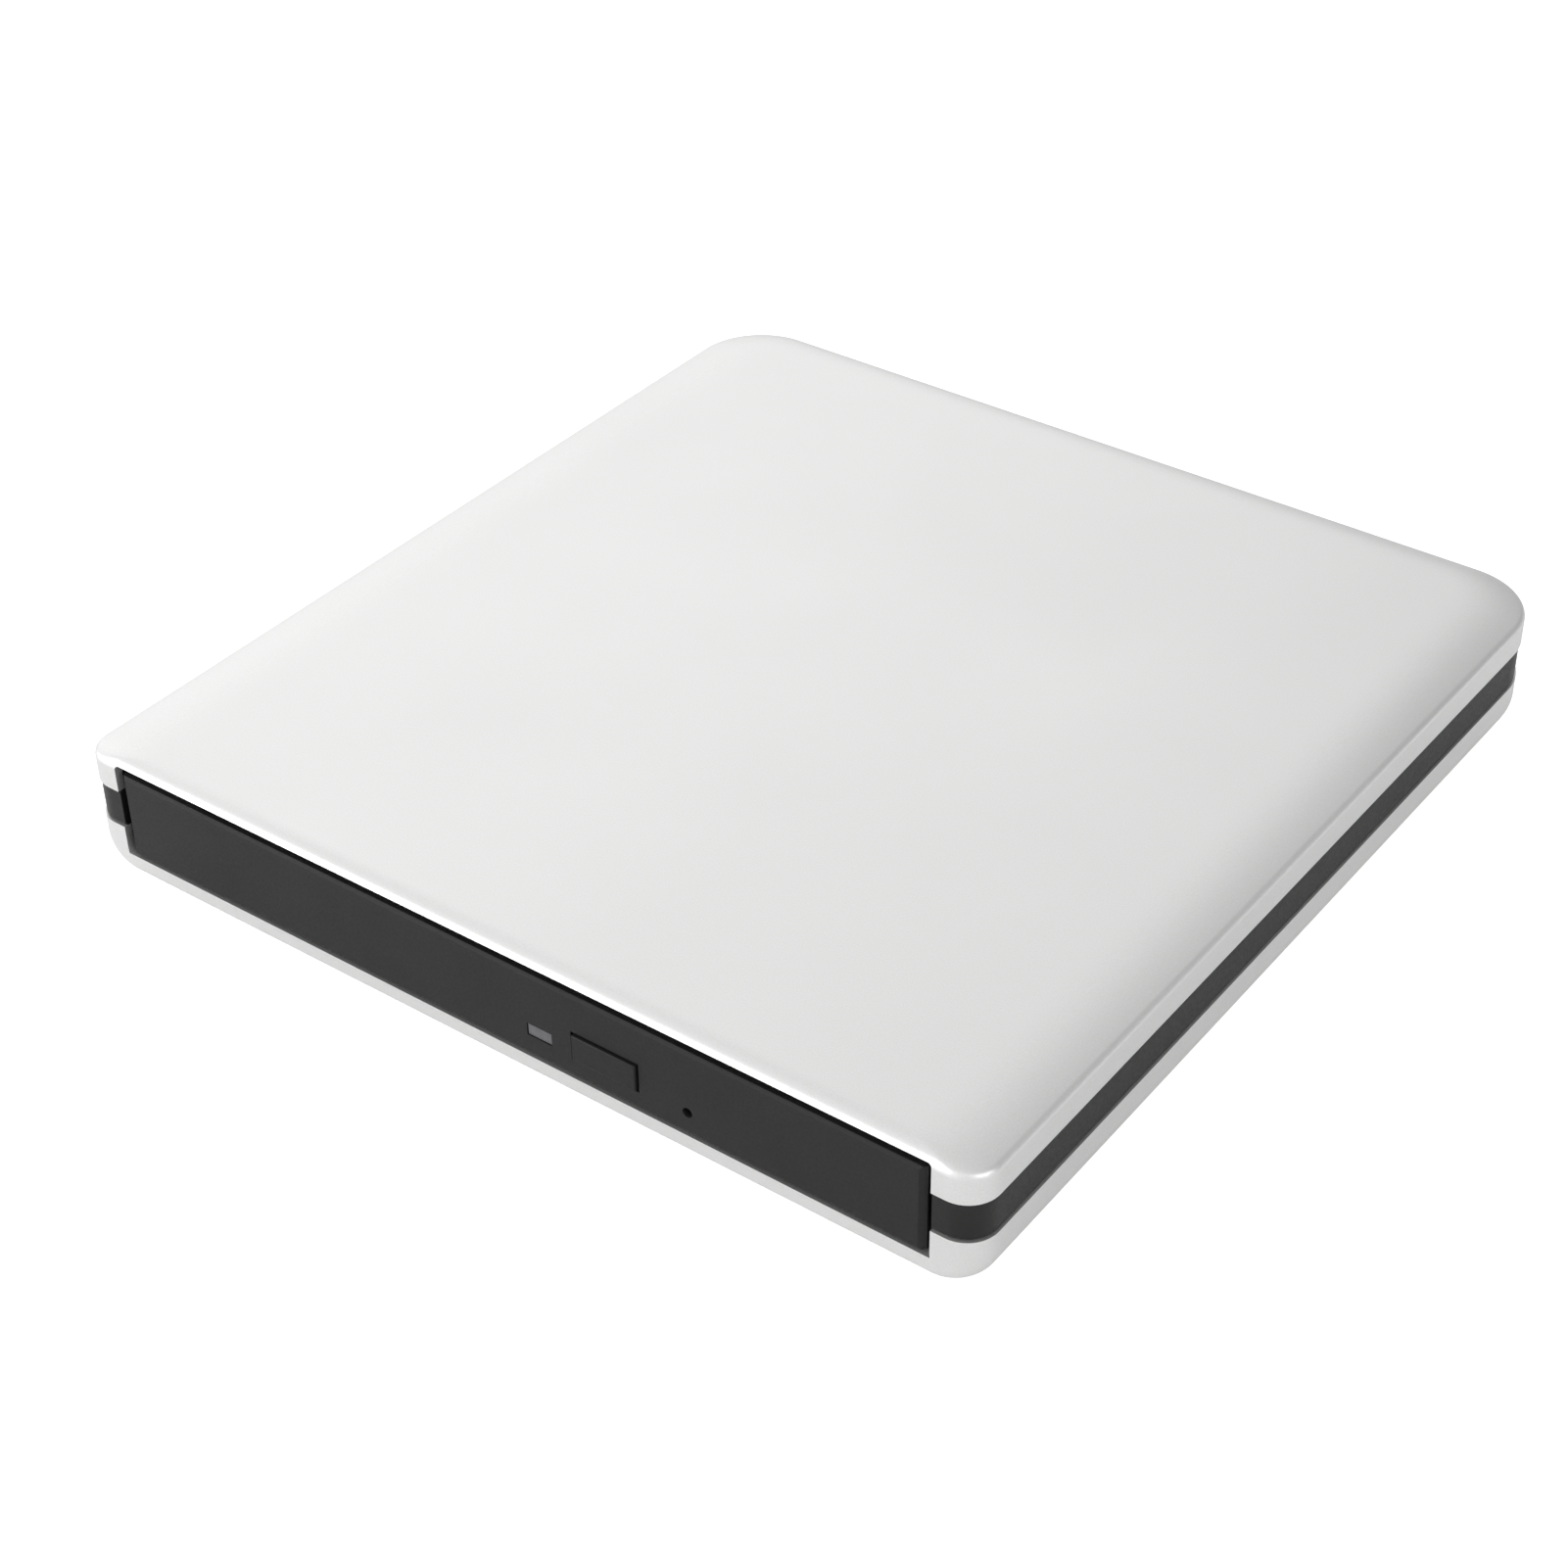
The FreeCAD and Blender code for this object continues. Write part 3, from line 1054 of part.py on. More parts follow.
def solenoid_coil():
    """Flat coil on its frame, seated under the tray's floor."""
    y0 = coil_y()
    frame = box(PLUNGER_X - COIL_W / 2, PLUNGER_X + COIL_W / 2, y0, y0 + COIL_DEEP,
                Z_TRAY_FLOOR - COIL_H, Z_TRAY_FLOOR)
    grooves = []
    for side in (-1, 1):
        x = PLUNGER_X + side * COIL_W / 2
        grooves.append(box(min(x, x - side), max(x, x - side), y0 + 1, y0 + COIL_DEEP - 1,
                           Z_TRAY_FLOOR - COIL_H, Z_TRAY_FLOOR))
    bore = bar_y(PLUNGER_X, Z_PLUNGER, PLUNGER_R + RUN_FIT, y0 - 1, y0 + COIL_DEEP - 0.8)
    return [cut(frame, bore, *grooves)]


def ejector_rod():
    y0 = ejector_collar_y()
    collar = bar_y(EJECTOR_X, Z_EJECTOR, COLLAR_R, y0, y0 + 1.0)
    shaft = bar_y(EJECTOR_X, Z_EJECTOR, EJECTOR_R, y0, CHASSIS_BACK - 0.3)
    return [join(collar, shaft)]


def ejector_spring():
    """Compression spring between the housing's blind end and the rod's collar."""
    y1 = ejector_collar_y() - 0.05
    y0 = y1 - EJECTOR_TRAVEL + 2 * SPRING_WIRE_R + 0.2
    height = y1 - y0 - 2 * SPRING_WIRE_R
    helix = Part.makeHelix(height / SPRING_TURNS, height, SPRING_R)
    ring = Part.Wire([Part.makeCircle(SPRING_WIRE_R, vec(SPRING_R, 0, 0), vec(0, 1, 0))])
    wire = Part.Wire(helix.Edges).makePipeShell([ring], True, True)
    wire.rotate(vec(0, 0, 0), vec(1, 0, 0), -90)
    wire.translate(vec(EJECTOR_X, y0 + SPRING_WIRE_R, Z_EJECTOR))
    return [wire]


# Traverse

def damper_height():
    return Z_TRAY_FLOOR - Z_FRAME + DAMPER_FLANGE


def traverse_frame():
    """Frame round the pickup's path and the spindle motor, with ears for the dampers."""
    z0, z1 = Z_FRAME, Z_FRAME_TOP
    v0, v1 = REAR_MEMBER_V - MEMBER_W, FRONT_MEMBER_V + MEMBER_W
    body = box(SPINDLE_END_U, FRAME_END, v0, v1, z0, z1)
    ears = [post(u, v, DAMPER_R + 0.9, z0, z1) for u, v in damper_places()]
    body = join(body, *ears)
    path = in_traverse(box(13, PICKUP_END + 0.4, REAR_MEMBER_V, FRONT_MEMBER_V, z0, z1))
    rotor = in_traverse(post(0, 0, ROTOR_R + 0.8, z0, z1))
    motor = in_traverse(box(-8.2, 13, LEAD_V - 3.2, LEAD_V + 3.2, z0, z1))
    body = in_traverse(body).common(under_tray(0, z0, z1))
    body = cut(body, path.common(under_tray(CORNER_WALL, z0, z1)), rotor, motor)
    tab = in_traverse(box(TAB_U, TAB_U + 1.5, LEAD_V - 2.4, FRONT_MEMBER_V + 0.2, z0, z1))
    body = join(body, tab.common(under_tray(0, z0, z1)))
    rods = [in_traverse(rod_bar(v, ROD_R + HOLE_FIT, 0.1)) for v in (-ROD_V, ROD_V)]
    lead = in_traverse(lead_bar(LEAD_R + RUN_FIT, 6.0))
    dampers = [in_traverse(post(u, v, DAMPER_R + HOLE_FIT, z0, z1)) for u, v in damper_places()]
    return [cut(body, *rods, lead, *dampers)]


def under_tray(inset, z0, z1):
    """Room under the tray's floor between its channels, behind its front wall."""
    side = CHANNEL_IN - 0.3 - inset
    return box(-side, side, TRAY_WALL + 0.3 + inset, TRAY_REAR, z0, z1)


def rod_bar(v, r, spare):
    """Guide rod, in the traverse's own directions."""
    length = FRAME_END - 1.0 - ROD_START + 2 * spare
    return Part.makeCylinder(r, length, vec(ROD_START - spare, v, Z_ROD), vec(1, 0, 0))


def lead_bar(r, start):
    """Lead screw from a start to just past its end bearing."""
    return Part.makeCylinder(r, TAB_U + 1.5 - start, vec(start, LEAD_V, Z_ROD), vec(1, 0, 0))


def guide_rods():
    return [in_traverse(rod_bar(v, ROD_R, 0)) for v in (-ROD_V, ROD_V)]


def traverse_dampers():
    """Rubber bushes that carry the traverse, flanged under the frame's ears."""
    bushes = []
    for u, v in damper_places():
        z0 = Z_TRAY_FLOOR - damper_height()
        bush = join(post(u, v, DAMPER_R, z0, Z_TRAY_FLOOR),
                    post(u, v, DAMPER_R + 0.6, z0, Z_FRAME),
                    post(u, v, DAMPER_R + 0.6, Z_FRAME_TOP, Z_TRAY_FLOOR))
        bushes.append(in_traverse(cut(bush, post(u, v, SMALL_SCREW_R + HOLE_FIT, z0, Z_TRAY_FLOOR))))
    return bushes


def traverse_cover():
    """Thin cover in the tray's floor, on legs that stand on the traverse frame."""
    layer = box(-SIDE, SIDE, FRONT, REAR, Z_COVER, Z_COVER_TOP)
    plate = traverse_window(-COVER_GAP).common(layer)
    table = in_traverse(post(0, 0, TABLE_R + 0.8, Z_COVER, Z_COVER_TOP))
    legs = []
    for u, v in ((10.0, REAR_MEMBER_V - 0.7), (52.0, REAR_MEMBER_V - 0.7),
                 (16.0, FRONT_MEMBER_V + 0.1), (52.0, FRONT_MEMBER_V + 0.1)):
        legs.append(in_traverse(box(u, u + 4, v, v + 0.4, Z_FRAME_TOP, Z_COVER_TOP)))
    return [cut(join(plate, *legs), table, lens_notch(Z_COVER, Z_COVER_TOP))]


def sled_motor():
    """Stepper motor that turns the lead screw."""
    body = box(-7.8, 6.0, LEAD_V - 3.0, LEAD_V + 3.0, Z_ROD - 1.9, Z_ROD + 1.9)
    body = body.makeFillet(1.2, [e for e in body.Edges if e.BoundBox.XLength > 10])
    return [in_traverse(cut(body, lead_bar(LEAD_R + RUN_FIT, 1.9)))]


def lead_screw():
    return [in_traverse(lead_bar(LEAD_R, 2.0))]


# Spindle, in place at the disc's centre

def spindle_base():
    """Motor plate under the traverse frame, with the posts that meet it."""
    z0, z1 = Z_MOTOR, Z_MOTOR_TOP
    v0 = REAR_MEMBER_V + 0.2
    plate = prism([(-16.6, -9.2), (-9.5, v0), (12, v0), (12, 10), (7, 14), (-12, 14), (-16.6, 9.2)], z0, z1)
    posts = [post(u, v, 1.3, z1, Z_FRAME) for u, v in ((-15.2, -7.5), (-15.2, 7.5), (10, -16.5))]
    return [in_traverse(join(plate, *posts))]


def spindle_bearing():
    """Bearing sleeve with the shoulder that the stator sits on."""
    z0 = Z_MOTOR_TOP
    sleeve = join(post(0, DISC_Y, BEARING_R, z0, z_cup_top() - 0.7),
                  post(0, DISC_Y, BEARING_R + 1.0, z0, z0 + 0.7))
    return [cut(sleeve, post(0, DISC_Y, SHAFT_R + RUN_FIT, z0 + 0.4, Z_RECESS))]


def z_cup_top():
    """Top of the rotor cup, under the turntable."""
    return Z_TRAY_FLOOR - 0.6


def spindle_stator():
    """Laminated core with its coils on radial arms."""
    z0 = Z_MOTOR_TOP + 0.7
    z1 = z0 + 1.3
    tip = ROTOR_R - ROTOR_SKIN - MAGNET_T - 0.3
    core = join(post(0, 0, BEARING_R + 2.2, z0, z1),
                *[turned(box(3, tip, -0.8, 0.8, z0, z1), n) for n in range(STATOR_ARMS)])
    core = cut(core, post(0, 0, BEARING_R + HOLE_FIT, z0, z1))
    coils = [turned(box(BEARING_R + 2.7, tip - 1.2, -1.3, 1.3, z0 - 0.4, z1 + 0.4), n)
             for n in range(STATOR_ARMS)]
    stator = core.fuse(coils).removeSplitter()
    stator.translate(vec(0, DISC_Y, 0))
    return [stator]


def turned(shape, n):
    """Copy of a shape turned to the nth arm."""
    moved = shape.copy()
    moved.rotate(vec(0, 0, 0), vec(0, 0, 1), n * 360.0 / STATOR_ARMS)
    return moved


def spindle_shaft():
    return [post(0, DISC_Y, SHAFT_R, Z_MOTOR_TOP + 0.45, Z_DISC + HUB_H + 0.2)]


def rotor_cup():
    top = z_cup_top()
    cup = join(tube(0, DISC_Y, ROTOR_R, ROTOR_R - ROTOR_SKIN, Z_FRAME, top),
               tube(0, DISC_Y, ROTOR_R, SHAFT_R + 0.02, top - 0.5, top))
    return [cup]


def rotor_magnet():
    r = ROTOR_R - ROTOR_SKIN - 0.02
    return [tube(0, DISC_Y, r, r - MAGNET_T, Z_FRAME + 0.1, z_cup_top() - 0.6)]


def turntable():
    """Table under the disc, its core seated on the rotor cup."""
    core = post(0, DISC_Y, 8.0, z_cup_top(), Z_TABLE_TOP)
    flange = post(0, DISC_Y, TABLE_R, Z_TABLE_TOP - 0.5, Z_TABLE_TOP)
    return [cut(join(core, flange), post(0, DISC_Y, SHAFT_R + 0.02, z_cup_top(), Z_TABLE_TOP))]


def disc_pad():
    """Rubber ring that the disc's clamping area rests on."""
    return [tube(0, DISC_Y, TABLE_R - 0.1, TABLE_R - 2.0, Z_TABLE_TOP, Z_DISC)]


def hub():
    """Hub that centres the disc, with three sprung claws moulded in it."""
    z0, z1 = Z_TABLE_TOP, Z_DISC + HUB_H
    body = join(post(0, 0, HUB_R, z0, z1),
                Part.makeCone(HUB_R, HUB_R - 1.3, 0.8, vec(0, 0, z1)))
    slots = []
    for n in range(3):
        for v in (-1.6, 1.3):
            slot = box(HUB_R - 3.0, HUB_R + 1, v, v + 0.3, z1 - 0.6, z1 + 1)
            slot.rotate(vec(0, 0, 0), vec(0, 0, 1), 120 * n)
            slots.append(slot)
    body = cut(body, post(0, 0, SHAFT_R + 0.02, z0, z1 + 0.21), *slots)
    body.translate(vec(0, DISC_Y, 0))
    return [body]


# Pickup, drawn at the innermost track

def pickup_base():
    """Cast base with the well of the lens actuator and its bearings on the two rods."""
    u = INNER_TRACK_R
    block = box(u - PICKUP_IN, u + PICKUP_OUT, -PICKUP_HALF_V, PICKUP_HALF_V, Z_PICKUP, Z_PICKUP_TOP)
    corners = [box(u + PICKUP_OUT - 3, u + PICKUP_OUT, side * PICKUP_HALF_V - 3, side * PICKUP_HALF_V + 3,
                   Z_PICKUP, Z_PICKUP_TOP) for side in (-1, 1)]
    well = box(u - WELL_HALF_U, u + WELL_HALF_U, -WELL_HALF_V, WELL_HALF_V, Z_PICKUP + WELL_FLOOR,
               Z_PICKUP_TOP)
    half = BEARING_W / 2
    z0, z1 = Z_ROD - 1.8, Z_ROD + 1.7
    drive_side = box(u - 6.5, u + 4.6, PICKUP_HALF_V, ROD_V + half, z0, z1)
    free_side = box(u - 2, u + 2, -ROD_V - half + 0.2, -PICKUP_HALF_V, z0, z1)
    body = join(cut(block, *corners, well), drive_side, free_side)
    diode_places = [bar_for_diode(v, 0.05) for v in DIODE_V]
    ways = [Part.makeCylinder(ROD_R + RUN_FIT, 60, vec(0, v, Z_ROD), vec(1, 0, 0)) for v in (-ROD_V, ROD_V)]
    return [in_traverse(cut(body, *ways, *diode_places))]


def bar_for_diode(v, spare):
    """Laser diode can, let into the pickup's outer end."""
    length = 2.4 + spare
    start = INNER_TRACK_R + PICKUP_OUT - 3 - length
    return Part.makeCylinder(DIODE_R + spare, length + spare, vec(start, v, Z_ROD), vec(1, 0, 0))


def laser_diodes():
    return [in_traverse(bar_for_diode(v, 0)) for v in DIODE_V]


def drive_nut():
    """Arm from the pickup's bearing to the lead screw."""
    u = INNER_TRACK_R
    v0 = ROD_V + BEARING_W / 2
    arm = box(u - 2, u + 2, v0, LEAD_V + 1.9, Z_ROD - 1.5, Z_ROD + 1.5)
    arm_way = Part.makeCylinder(LEAD_R + RUN_FIT, 20, vec(u - 10, LEAD_V, Z_ROD), vec(1, 0, 0))
    return [in_traverse(cut(arm, arm_way))]


def actuator_yoke():
    """Steel yoke with two upright cheeks, on the floor of the well."""
    u, z0 = INNER_TRACK_R, Z_PICKUP + WELL_FLOOR
    outer = WELL_HALF_V - 0.2
    plate = box(u - WELL_HALF_U + 0.4, u + WELL_HALF_U - 0.4, -outer, outer, z0, z0 + YOKE_T)
    cheeks = [box(u - 3.4, u + 3.4, v, v + CHEEK_T, z0, Z_COVER - 0.4) for v in (-outer, outer - CHEEK_T)]
    return [in_traverse(join(plate, *cheeks))]


def actuator_magnets():
    u, z0 = INNER_TRACK_R, Z_PICKUP + WELL_FLOOR + YOKE_T + 0.3
    outer = WELL_HALF_V - 0.2 - CHEEK_T - 0.05
    places = (-outer, outer - ACTUATOR_MAGNET_T)
    return [in_traverse(box(u - 3.2, u + 3.2, v, v + ACTUATOR_MAGNET_T, z0, Z_COVER - 0.6)) for v in places]


def suspension_wires():
    """Fine wires from the wall of the well to the lens holder."""
    u = INNER_TRACK_R
    wires = []
    for v in (-4.2, 4.2):
        for z in (lens_low() + 0.5, Z_PICKUP_TOP - 0.5):
            wire = Part.makeCylinder(0.1, 1.6, vec(u + 3.4, v, z), vec(1, 0, 0))
            wires.append(in_traverse(wire))
    return wires


def lens_low():
    """Underside of the lens holder."""
    return Z_PICKUP + 1.8


def lens_holder():
    u = INNER_TRACK_R
    body = box(u - 3.4, u + 3.4, -5.4, 5.4, lens_low(), Z_COVER_TOP - 0.35)
    seats = [post(u, v, r + 0.02, Z_COVER_TOP - LENS_T, Z_COVER_TOP) for v, r in LENSES]
    ways = [post(u, v, r - 0.4, lens_low(), Z_COVER_TOP) for v, r in LENSES]
    return [in_traverse(cut(body, *seats, *ways))]


def objective_lenses():
    """Two lenses, each a short drum with a domed top."""
    u = INNER_TRACK_R
    lenses = []
    for v, r in LENSES:
        drum = post(u, v, r, Z_COVER_TOP - LENS_T, Z_COVER_TOP - 0.2)
        ball = Part.makeSphere(2 * r, vec(u, v, Z_COVER_TOP - 2 * r))
        lenses.append(in_traverse(drum.common(ball)))
    return lenses


NODES = (
    top_cover, bottom_cover, middle_frame, rubber_feet, case_screws, bridge_board, bridge_chips,
    usb_socket, usb_tongue, sata_socket, drive_bracket, small_screws, chassis, chassis_top_plate,
    rail_guide_left, rail_guide_right, rear_board, sata_plug, flex_cable, rail_left, rail_right,
    tray, front_bezel, status_window, tray_bottom_plate, tray_screws, main_board, main_chips,
    button_switch, latch_pivot, solenoid_coil, ejector_spring, traverse_frame, traverse_dampers,
    traverse_cover, guide_rods, spindle_base, spindle_stator, spindle_bearing, sled_motor,
    eject_button, switch_stem, latch_lever, solenoid_plunger, ejector_rod, spindle_shaft,
    rotor_cup, rotor_magnet, turntable, disc_pad, hub, pickup_base, laser_diodes, actuator_yoke,
    actuator_magnets, drive_nut, suspension_wires, lens_holder, objective_lenses, lead_screw,
)


def main():
    """Writes each node, named after its function, as one file of separate solids."""
    os.makedirs("parts", exist_ok=True)
    for make_node in NODES:
        solids = make_node()
        shape = solids[0] if len(solids) == 1 else Part.makeCompound(solids)
        shape.exportStep("parts/" + make_node.__name__ + ".step")


main()
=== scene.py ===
import json
import math

import bmesh
import bpy
from mathutils import Matrix, Vector


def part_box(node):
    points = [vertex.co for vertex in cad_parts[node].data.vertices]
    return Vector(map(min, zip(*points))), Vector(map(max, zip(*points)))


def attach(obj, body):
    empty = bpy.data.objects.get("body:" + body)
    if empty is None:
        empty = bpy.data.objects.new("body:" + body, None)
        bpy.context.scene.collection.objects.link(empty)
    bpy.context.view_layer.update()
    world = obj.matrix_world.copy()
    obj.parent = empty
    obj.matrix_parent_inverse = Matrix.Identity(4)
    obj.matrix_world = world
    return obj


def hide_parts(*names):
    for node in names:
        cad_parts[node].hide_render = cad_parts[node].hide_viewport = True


# External blu-ray drive, in metres, in the frame of the construction model.
# +X is to the right seen from the front, +Y to the rear, +Z up, with the feet on z = 0.

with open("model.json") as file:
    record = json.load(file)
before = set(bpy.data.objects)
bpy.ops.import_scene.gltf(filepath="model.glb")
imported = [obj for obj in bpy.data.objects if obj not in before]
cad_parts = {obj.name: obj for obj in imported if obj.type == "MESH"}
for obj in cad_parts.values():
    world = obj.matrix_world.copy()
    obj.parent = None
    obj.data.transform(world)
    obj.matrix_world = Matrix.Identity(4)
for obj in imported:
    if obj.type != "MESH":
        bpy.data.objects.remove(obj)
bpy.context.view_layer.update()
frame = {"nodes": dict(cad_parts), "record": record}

MM = 0.001

# Case, in millimetres, as in the construction model
SHELL_WALL = 1.2
FRONT_CORNER_R = 4.5
REAR_CORNER_R = 11.0
LEAST_CORNER_R = 0.5              # of an outline that is drawn in
OPENING_SIDE_GAP = 0.83           # bezel's side to the opening
OPENING_CORNER_R = 0.6
OPENING_H = 14.5                  # opening, down from the inside of the top
OPENING_OVER = 0.002              # opening past the inside of the top, so that no skin is left
RECESS_GAP = 0.05                 # round the feet and the screws in the bottom shell
TOP_DROP = 1.1                    # how far the top rolls down before its rounded edge
TOP_EDGE_H = 0.8                  # height of the rounded edge
BASE_RISE = 0.5
BASE_EDGE_H = 4.2

# Width of each roll and of its rounded edge, in millimetres: to the side, the rear and the front
TOP_ROLLS = ((12.0, 0.8), (7.0, 0.8), (3.4, 0.8))
BASE_ROLLS = ((5.0, 4.2), (5.0, 4.2), (1.6, 1.2))

# Fineness of the shells
CORNER_STEPS = 20                 # along a corner of the outline
SIDE_STEPS = 6                    # along a side of the outline
EDGE_STEP = 6                     # degrees, down the rounded edge
ROLL_STEPS = 24                   # across the roll
MOUTH_STEPS = 8                   # along a corner of the opening
ROUND_STEPS = 64                  # round a foot or screw
CUT_OVER = 1.0                    # millimetres that a cut goes past what it cuts
SHELL_SHARP = 40                  # degrees, from which an edge of a shell stays sharp

# Rounding of the edges of nodes that keep their shape, in millimetres
EDGE_ROUNDING = {
    "middle_frame": 0.12, "front_bezel": 0.12, "eject_button": 0.08, "tray": 0.15,
    "usb_socket": 0.06, "usb_tongue": 0.05, "hub": 0.12, "turntable": 0.08, "disc_pad": 0.12,
    "traverse_cover": 0.06, "chassis_top_plate": 0.08, "rail_left": 0.12, "rail_right": 0.12,
    "pickup_base": 0.15, "lens_holder": 0.1, "rail_guide_left": 0.08, "rail_guide_right": 0.08,
    "status_window": 0.08, "case_screws": 0.05, "tray_bottom_plate": 0.05, "chassis": 0.06,
    "small_screws": 0.08, "tray_screws": 0.08, "rubber_feet": 0.25, "bridge_chips": 0.06,
    "main_chips": 0.06, "sata_plug": 0.06, "traverse_frame": 0.1, "rotor_cup": 0.1,
}
ROUNDING_STEPS = 2
ROUNDED_FROM = 32                 # degrees, from which an edge is rounded
FLAT_WITHIN = 0.3                 # degrees, up to which faces are made one
WELD = 1e-6                       # metres, up to which points are made one

# Camera, at the photograph's viewing angle
CAMERA_AT = Vector((197.4, -277.0, 250.9)) * MM
CAMERA_AIM = Vector((2.3, -16.1, 10.0)) * MM
CAMERA_ROLL = math.radians(-0.84)
FOCAL_LENGTH = 68.98              # on a 36 mm sensor

# Light: the room is bright to the front left and dim to the rear right
ROOM_BRIGHT = 0.9
ROOM_DIM = 0.36
ROOM_TOWARDS = (-0.62, -0.74, 0.26)
FLOOR_HALF = 6.0                  # half the floor's width, in metres
FLOOR_LIFT = 0.7                  # light added to the floor for the camera alone

# Place, aim, size and power of each lamp, in metres and watts
LAMPS = {
    "key": ((-1.15, 0.95, 0.8), (0, 0, 0), (1.9, 1.2), 3.9),
    "front": ((-1.0, -1.1, 0.5), (-0.15, -0.15, 0), (1.4, 0.8), 10.5),
    "right": ((1.3, -0.3, 0.6), (0.2, 0, 0), (0.8, 0.5), 4.0),
}

# Where most of a noise texture's values lie
NOISE_LOW = 0.3
NOISE_HIGH = 0.7


def node_mm(node):
    """Lowest and highest corners of a node, in millimetres."""
    low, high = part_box(node)
    return low / MM, high / MM


# Worked-out places of the case, read from the frame
top_low, top_high = node_mm("top_cover")
base_low, base_high = node_mm("bottom_cover")
bezel_high = node_mm("front_bezel")[1]
foot_high = node_mm("rubber_feet")[1]
chassis_low = node_mm("chassis")[0]
SIDE = top_high.x
FRONT, REAR = top_low.y, top_high.y
Z_BASE, Z_BAND_LOW = base_low.z, base_high.z
Z_BAND_HIGH, Z_TOP = top_low.z, top_high.z
Z_FLOOR, Z_ROOF = Z_BASE + SHELL_WALL, Z_TOP - SHELL_WALL
OPENING_HALF = bezel_high.x + OPENING_SIDE_GAP
OPENING_BACK = chassis_low.y
Z_OPENING = Z_ROOF - OPENING_H


# Node helpers for materials

def material(name, colour, metallic=0.0, roughness=0.5, specular=0.5):
    """New material with one Principled shader; returns the material, its node tree and the shader."""
    made = bpy.data.materials.new(name)
    made.use_nodes = True
    tree = made.node_tree
    shader = tree.nodes["Principled BSDF"]
    shader.inputs["Base Color"].default_value = (*colour, 1.0)
    shader.inputs["Metallic"].default_value = metallic
    shader.inputs["Roughness"].default_value = roughness
    shader.inputs["Specular IOR Level"].default_value = specular
    made.diffuse_color = (*colour, 1.0)
    return made, tree, shader


def noise(tree, scale, detail=2.0, roughness=0.5, stretch=(1, 1, 1)):
    """Noise over the object's own coordinates; scale is in features per metre."""
    coordinates = tree.nodes.new("ShaderNodeTexCoord")
    mapping = tree.nodes.new("ShaderNodeMapping")
    mapping.inputs["Scale"].default_value = stretch
    texture = tree.nodes.new("ShaderNodeTexNoise")
    texture.inputs["Scale"].default_value = scale
    texture.inputs["Detail"].default_value = detail
    texture.inputs["Roughness"].default_value = roughness
    tree.links.new(coordinates.outputs["Object"], mapping.inputs["Vector"])
    tree.links.new(mapping.outputs["Vector"], texture.inputs["Vector"])
    return texture.outputs["Fac"]


def spread(tree, value, low, high):
    """Spreads a noise value between two numbers."""
    node = tree.nodes.new("ShaderNodeMapRange")
    node.inputs["From Min"].default_value = NOISE_LOW
    node.inputs["From Max"].default_value = NOISE_HIGH
    node.inputs["To Min"].default_value = low
    node.inputs["To Max"].default_value = high
    tree.links.new(value, node.inputs["Value"])
    return node.outputs["Result"]


def tint(tree, value, dark, light):
    """Colour between two colours, by a noise value."""
    ramp = tree.nodes.new("ShaderNodeValToRGB")
    first, last = ramp.color_ramp.elements
    first.position, first.color = NOISE_LOW, (*dark, 1.0)
    last.position, last.color = NOISE_HIGH, (*light, 1.0)
    tree.links.new(value, ramp.inputs["Fac"])
    return ramp.outputs["Color"]


def shade(colour, share):
    """The same colour, darker or lighter."""
    return tuple(min(1.0, share * c) for c in colour)


def bump(tree, shader, height, depth_mm, strength):
    """Bump of a real depth."""
    node = tree.nodes.new("ShaderNodeBump")
    node.inputs["Strength"].default_value = strength
    node.inputs["Distance"].default_value = depth_mm * MM
    tree.links.new(height, node.inputs["Height"])
    tree.links.new(node.outputs["Normal"], shader.inputs["Normal"])


# Materials

def blasted_aluminium():
    """Fine bead-blasted and clear-anodised aluminium."""
    made, tree, shader = material("blasted_aluminium", (0.83, 0.83, 0.825), metallic=0.85, roughness=0.42)
    grain = noise(tree, scale=5200, detail=3, roughness=0.6)
    cloud = noise(tree, scale=22, detail=2)
    colour = tint(tree, grain, dark=(0.79, 0.79, 0.785), light=(0.86, 0.86, 0.855))
    tree.links.new(colour, shader.inputs["Base Color"])
    tree.links.new(spread(tree, cloud, low=0.40, high=0.45), shader.inputs["Roughness"])
    bump(tree, shader, grain, depth_mm=0.02, strength=0.35)
    return made


def moulded_black(name, colour, roughness):
    """Black moulded plastic with a fine spark-eroded grain."""
    made, tree, shader = material(name, colour, roughness=roughness, specular=0.3)
    grain = noise(tree, scale=2600, detail=2, roughness=0.5)
    cloud = noise(tree, scale=60, detail=3)
    tree.links.new(tint(tree, cloud, dark=shade(colour, 0.85), light=shade(colour, 1.25)),
                   shader.inputs["Base Color"])
    tree.links.new(spread(tree, grain, low=roughness - 0.04, high=roughness + 0.06),
                   shader.inputs["Roughness"])
    bump(tree, shader, grain, depth_mm=0.015, strength=0.5)
    return made


def soft_rubber(name, colour):
    """Dull dark rubber with an uneven skin."""
    made, tree, shader = material(name, colour, roughness=0.8, specular=0.3)
    grain = noise(tree, scale=1800, detail=4, roughness=0.7)
    cloud = noise(tree, scale=300)
    tree.links.new(tint(tree, cloud, dark=shade(colour, 0.8), light=shade(colour, 1.3)),
                   shader.inputs["Base Color"])
    bump(tree, shader, grain, depth_mm=0.03, strength=0.5)
    return made


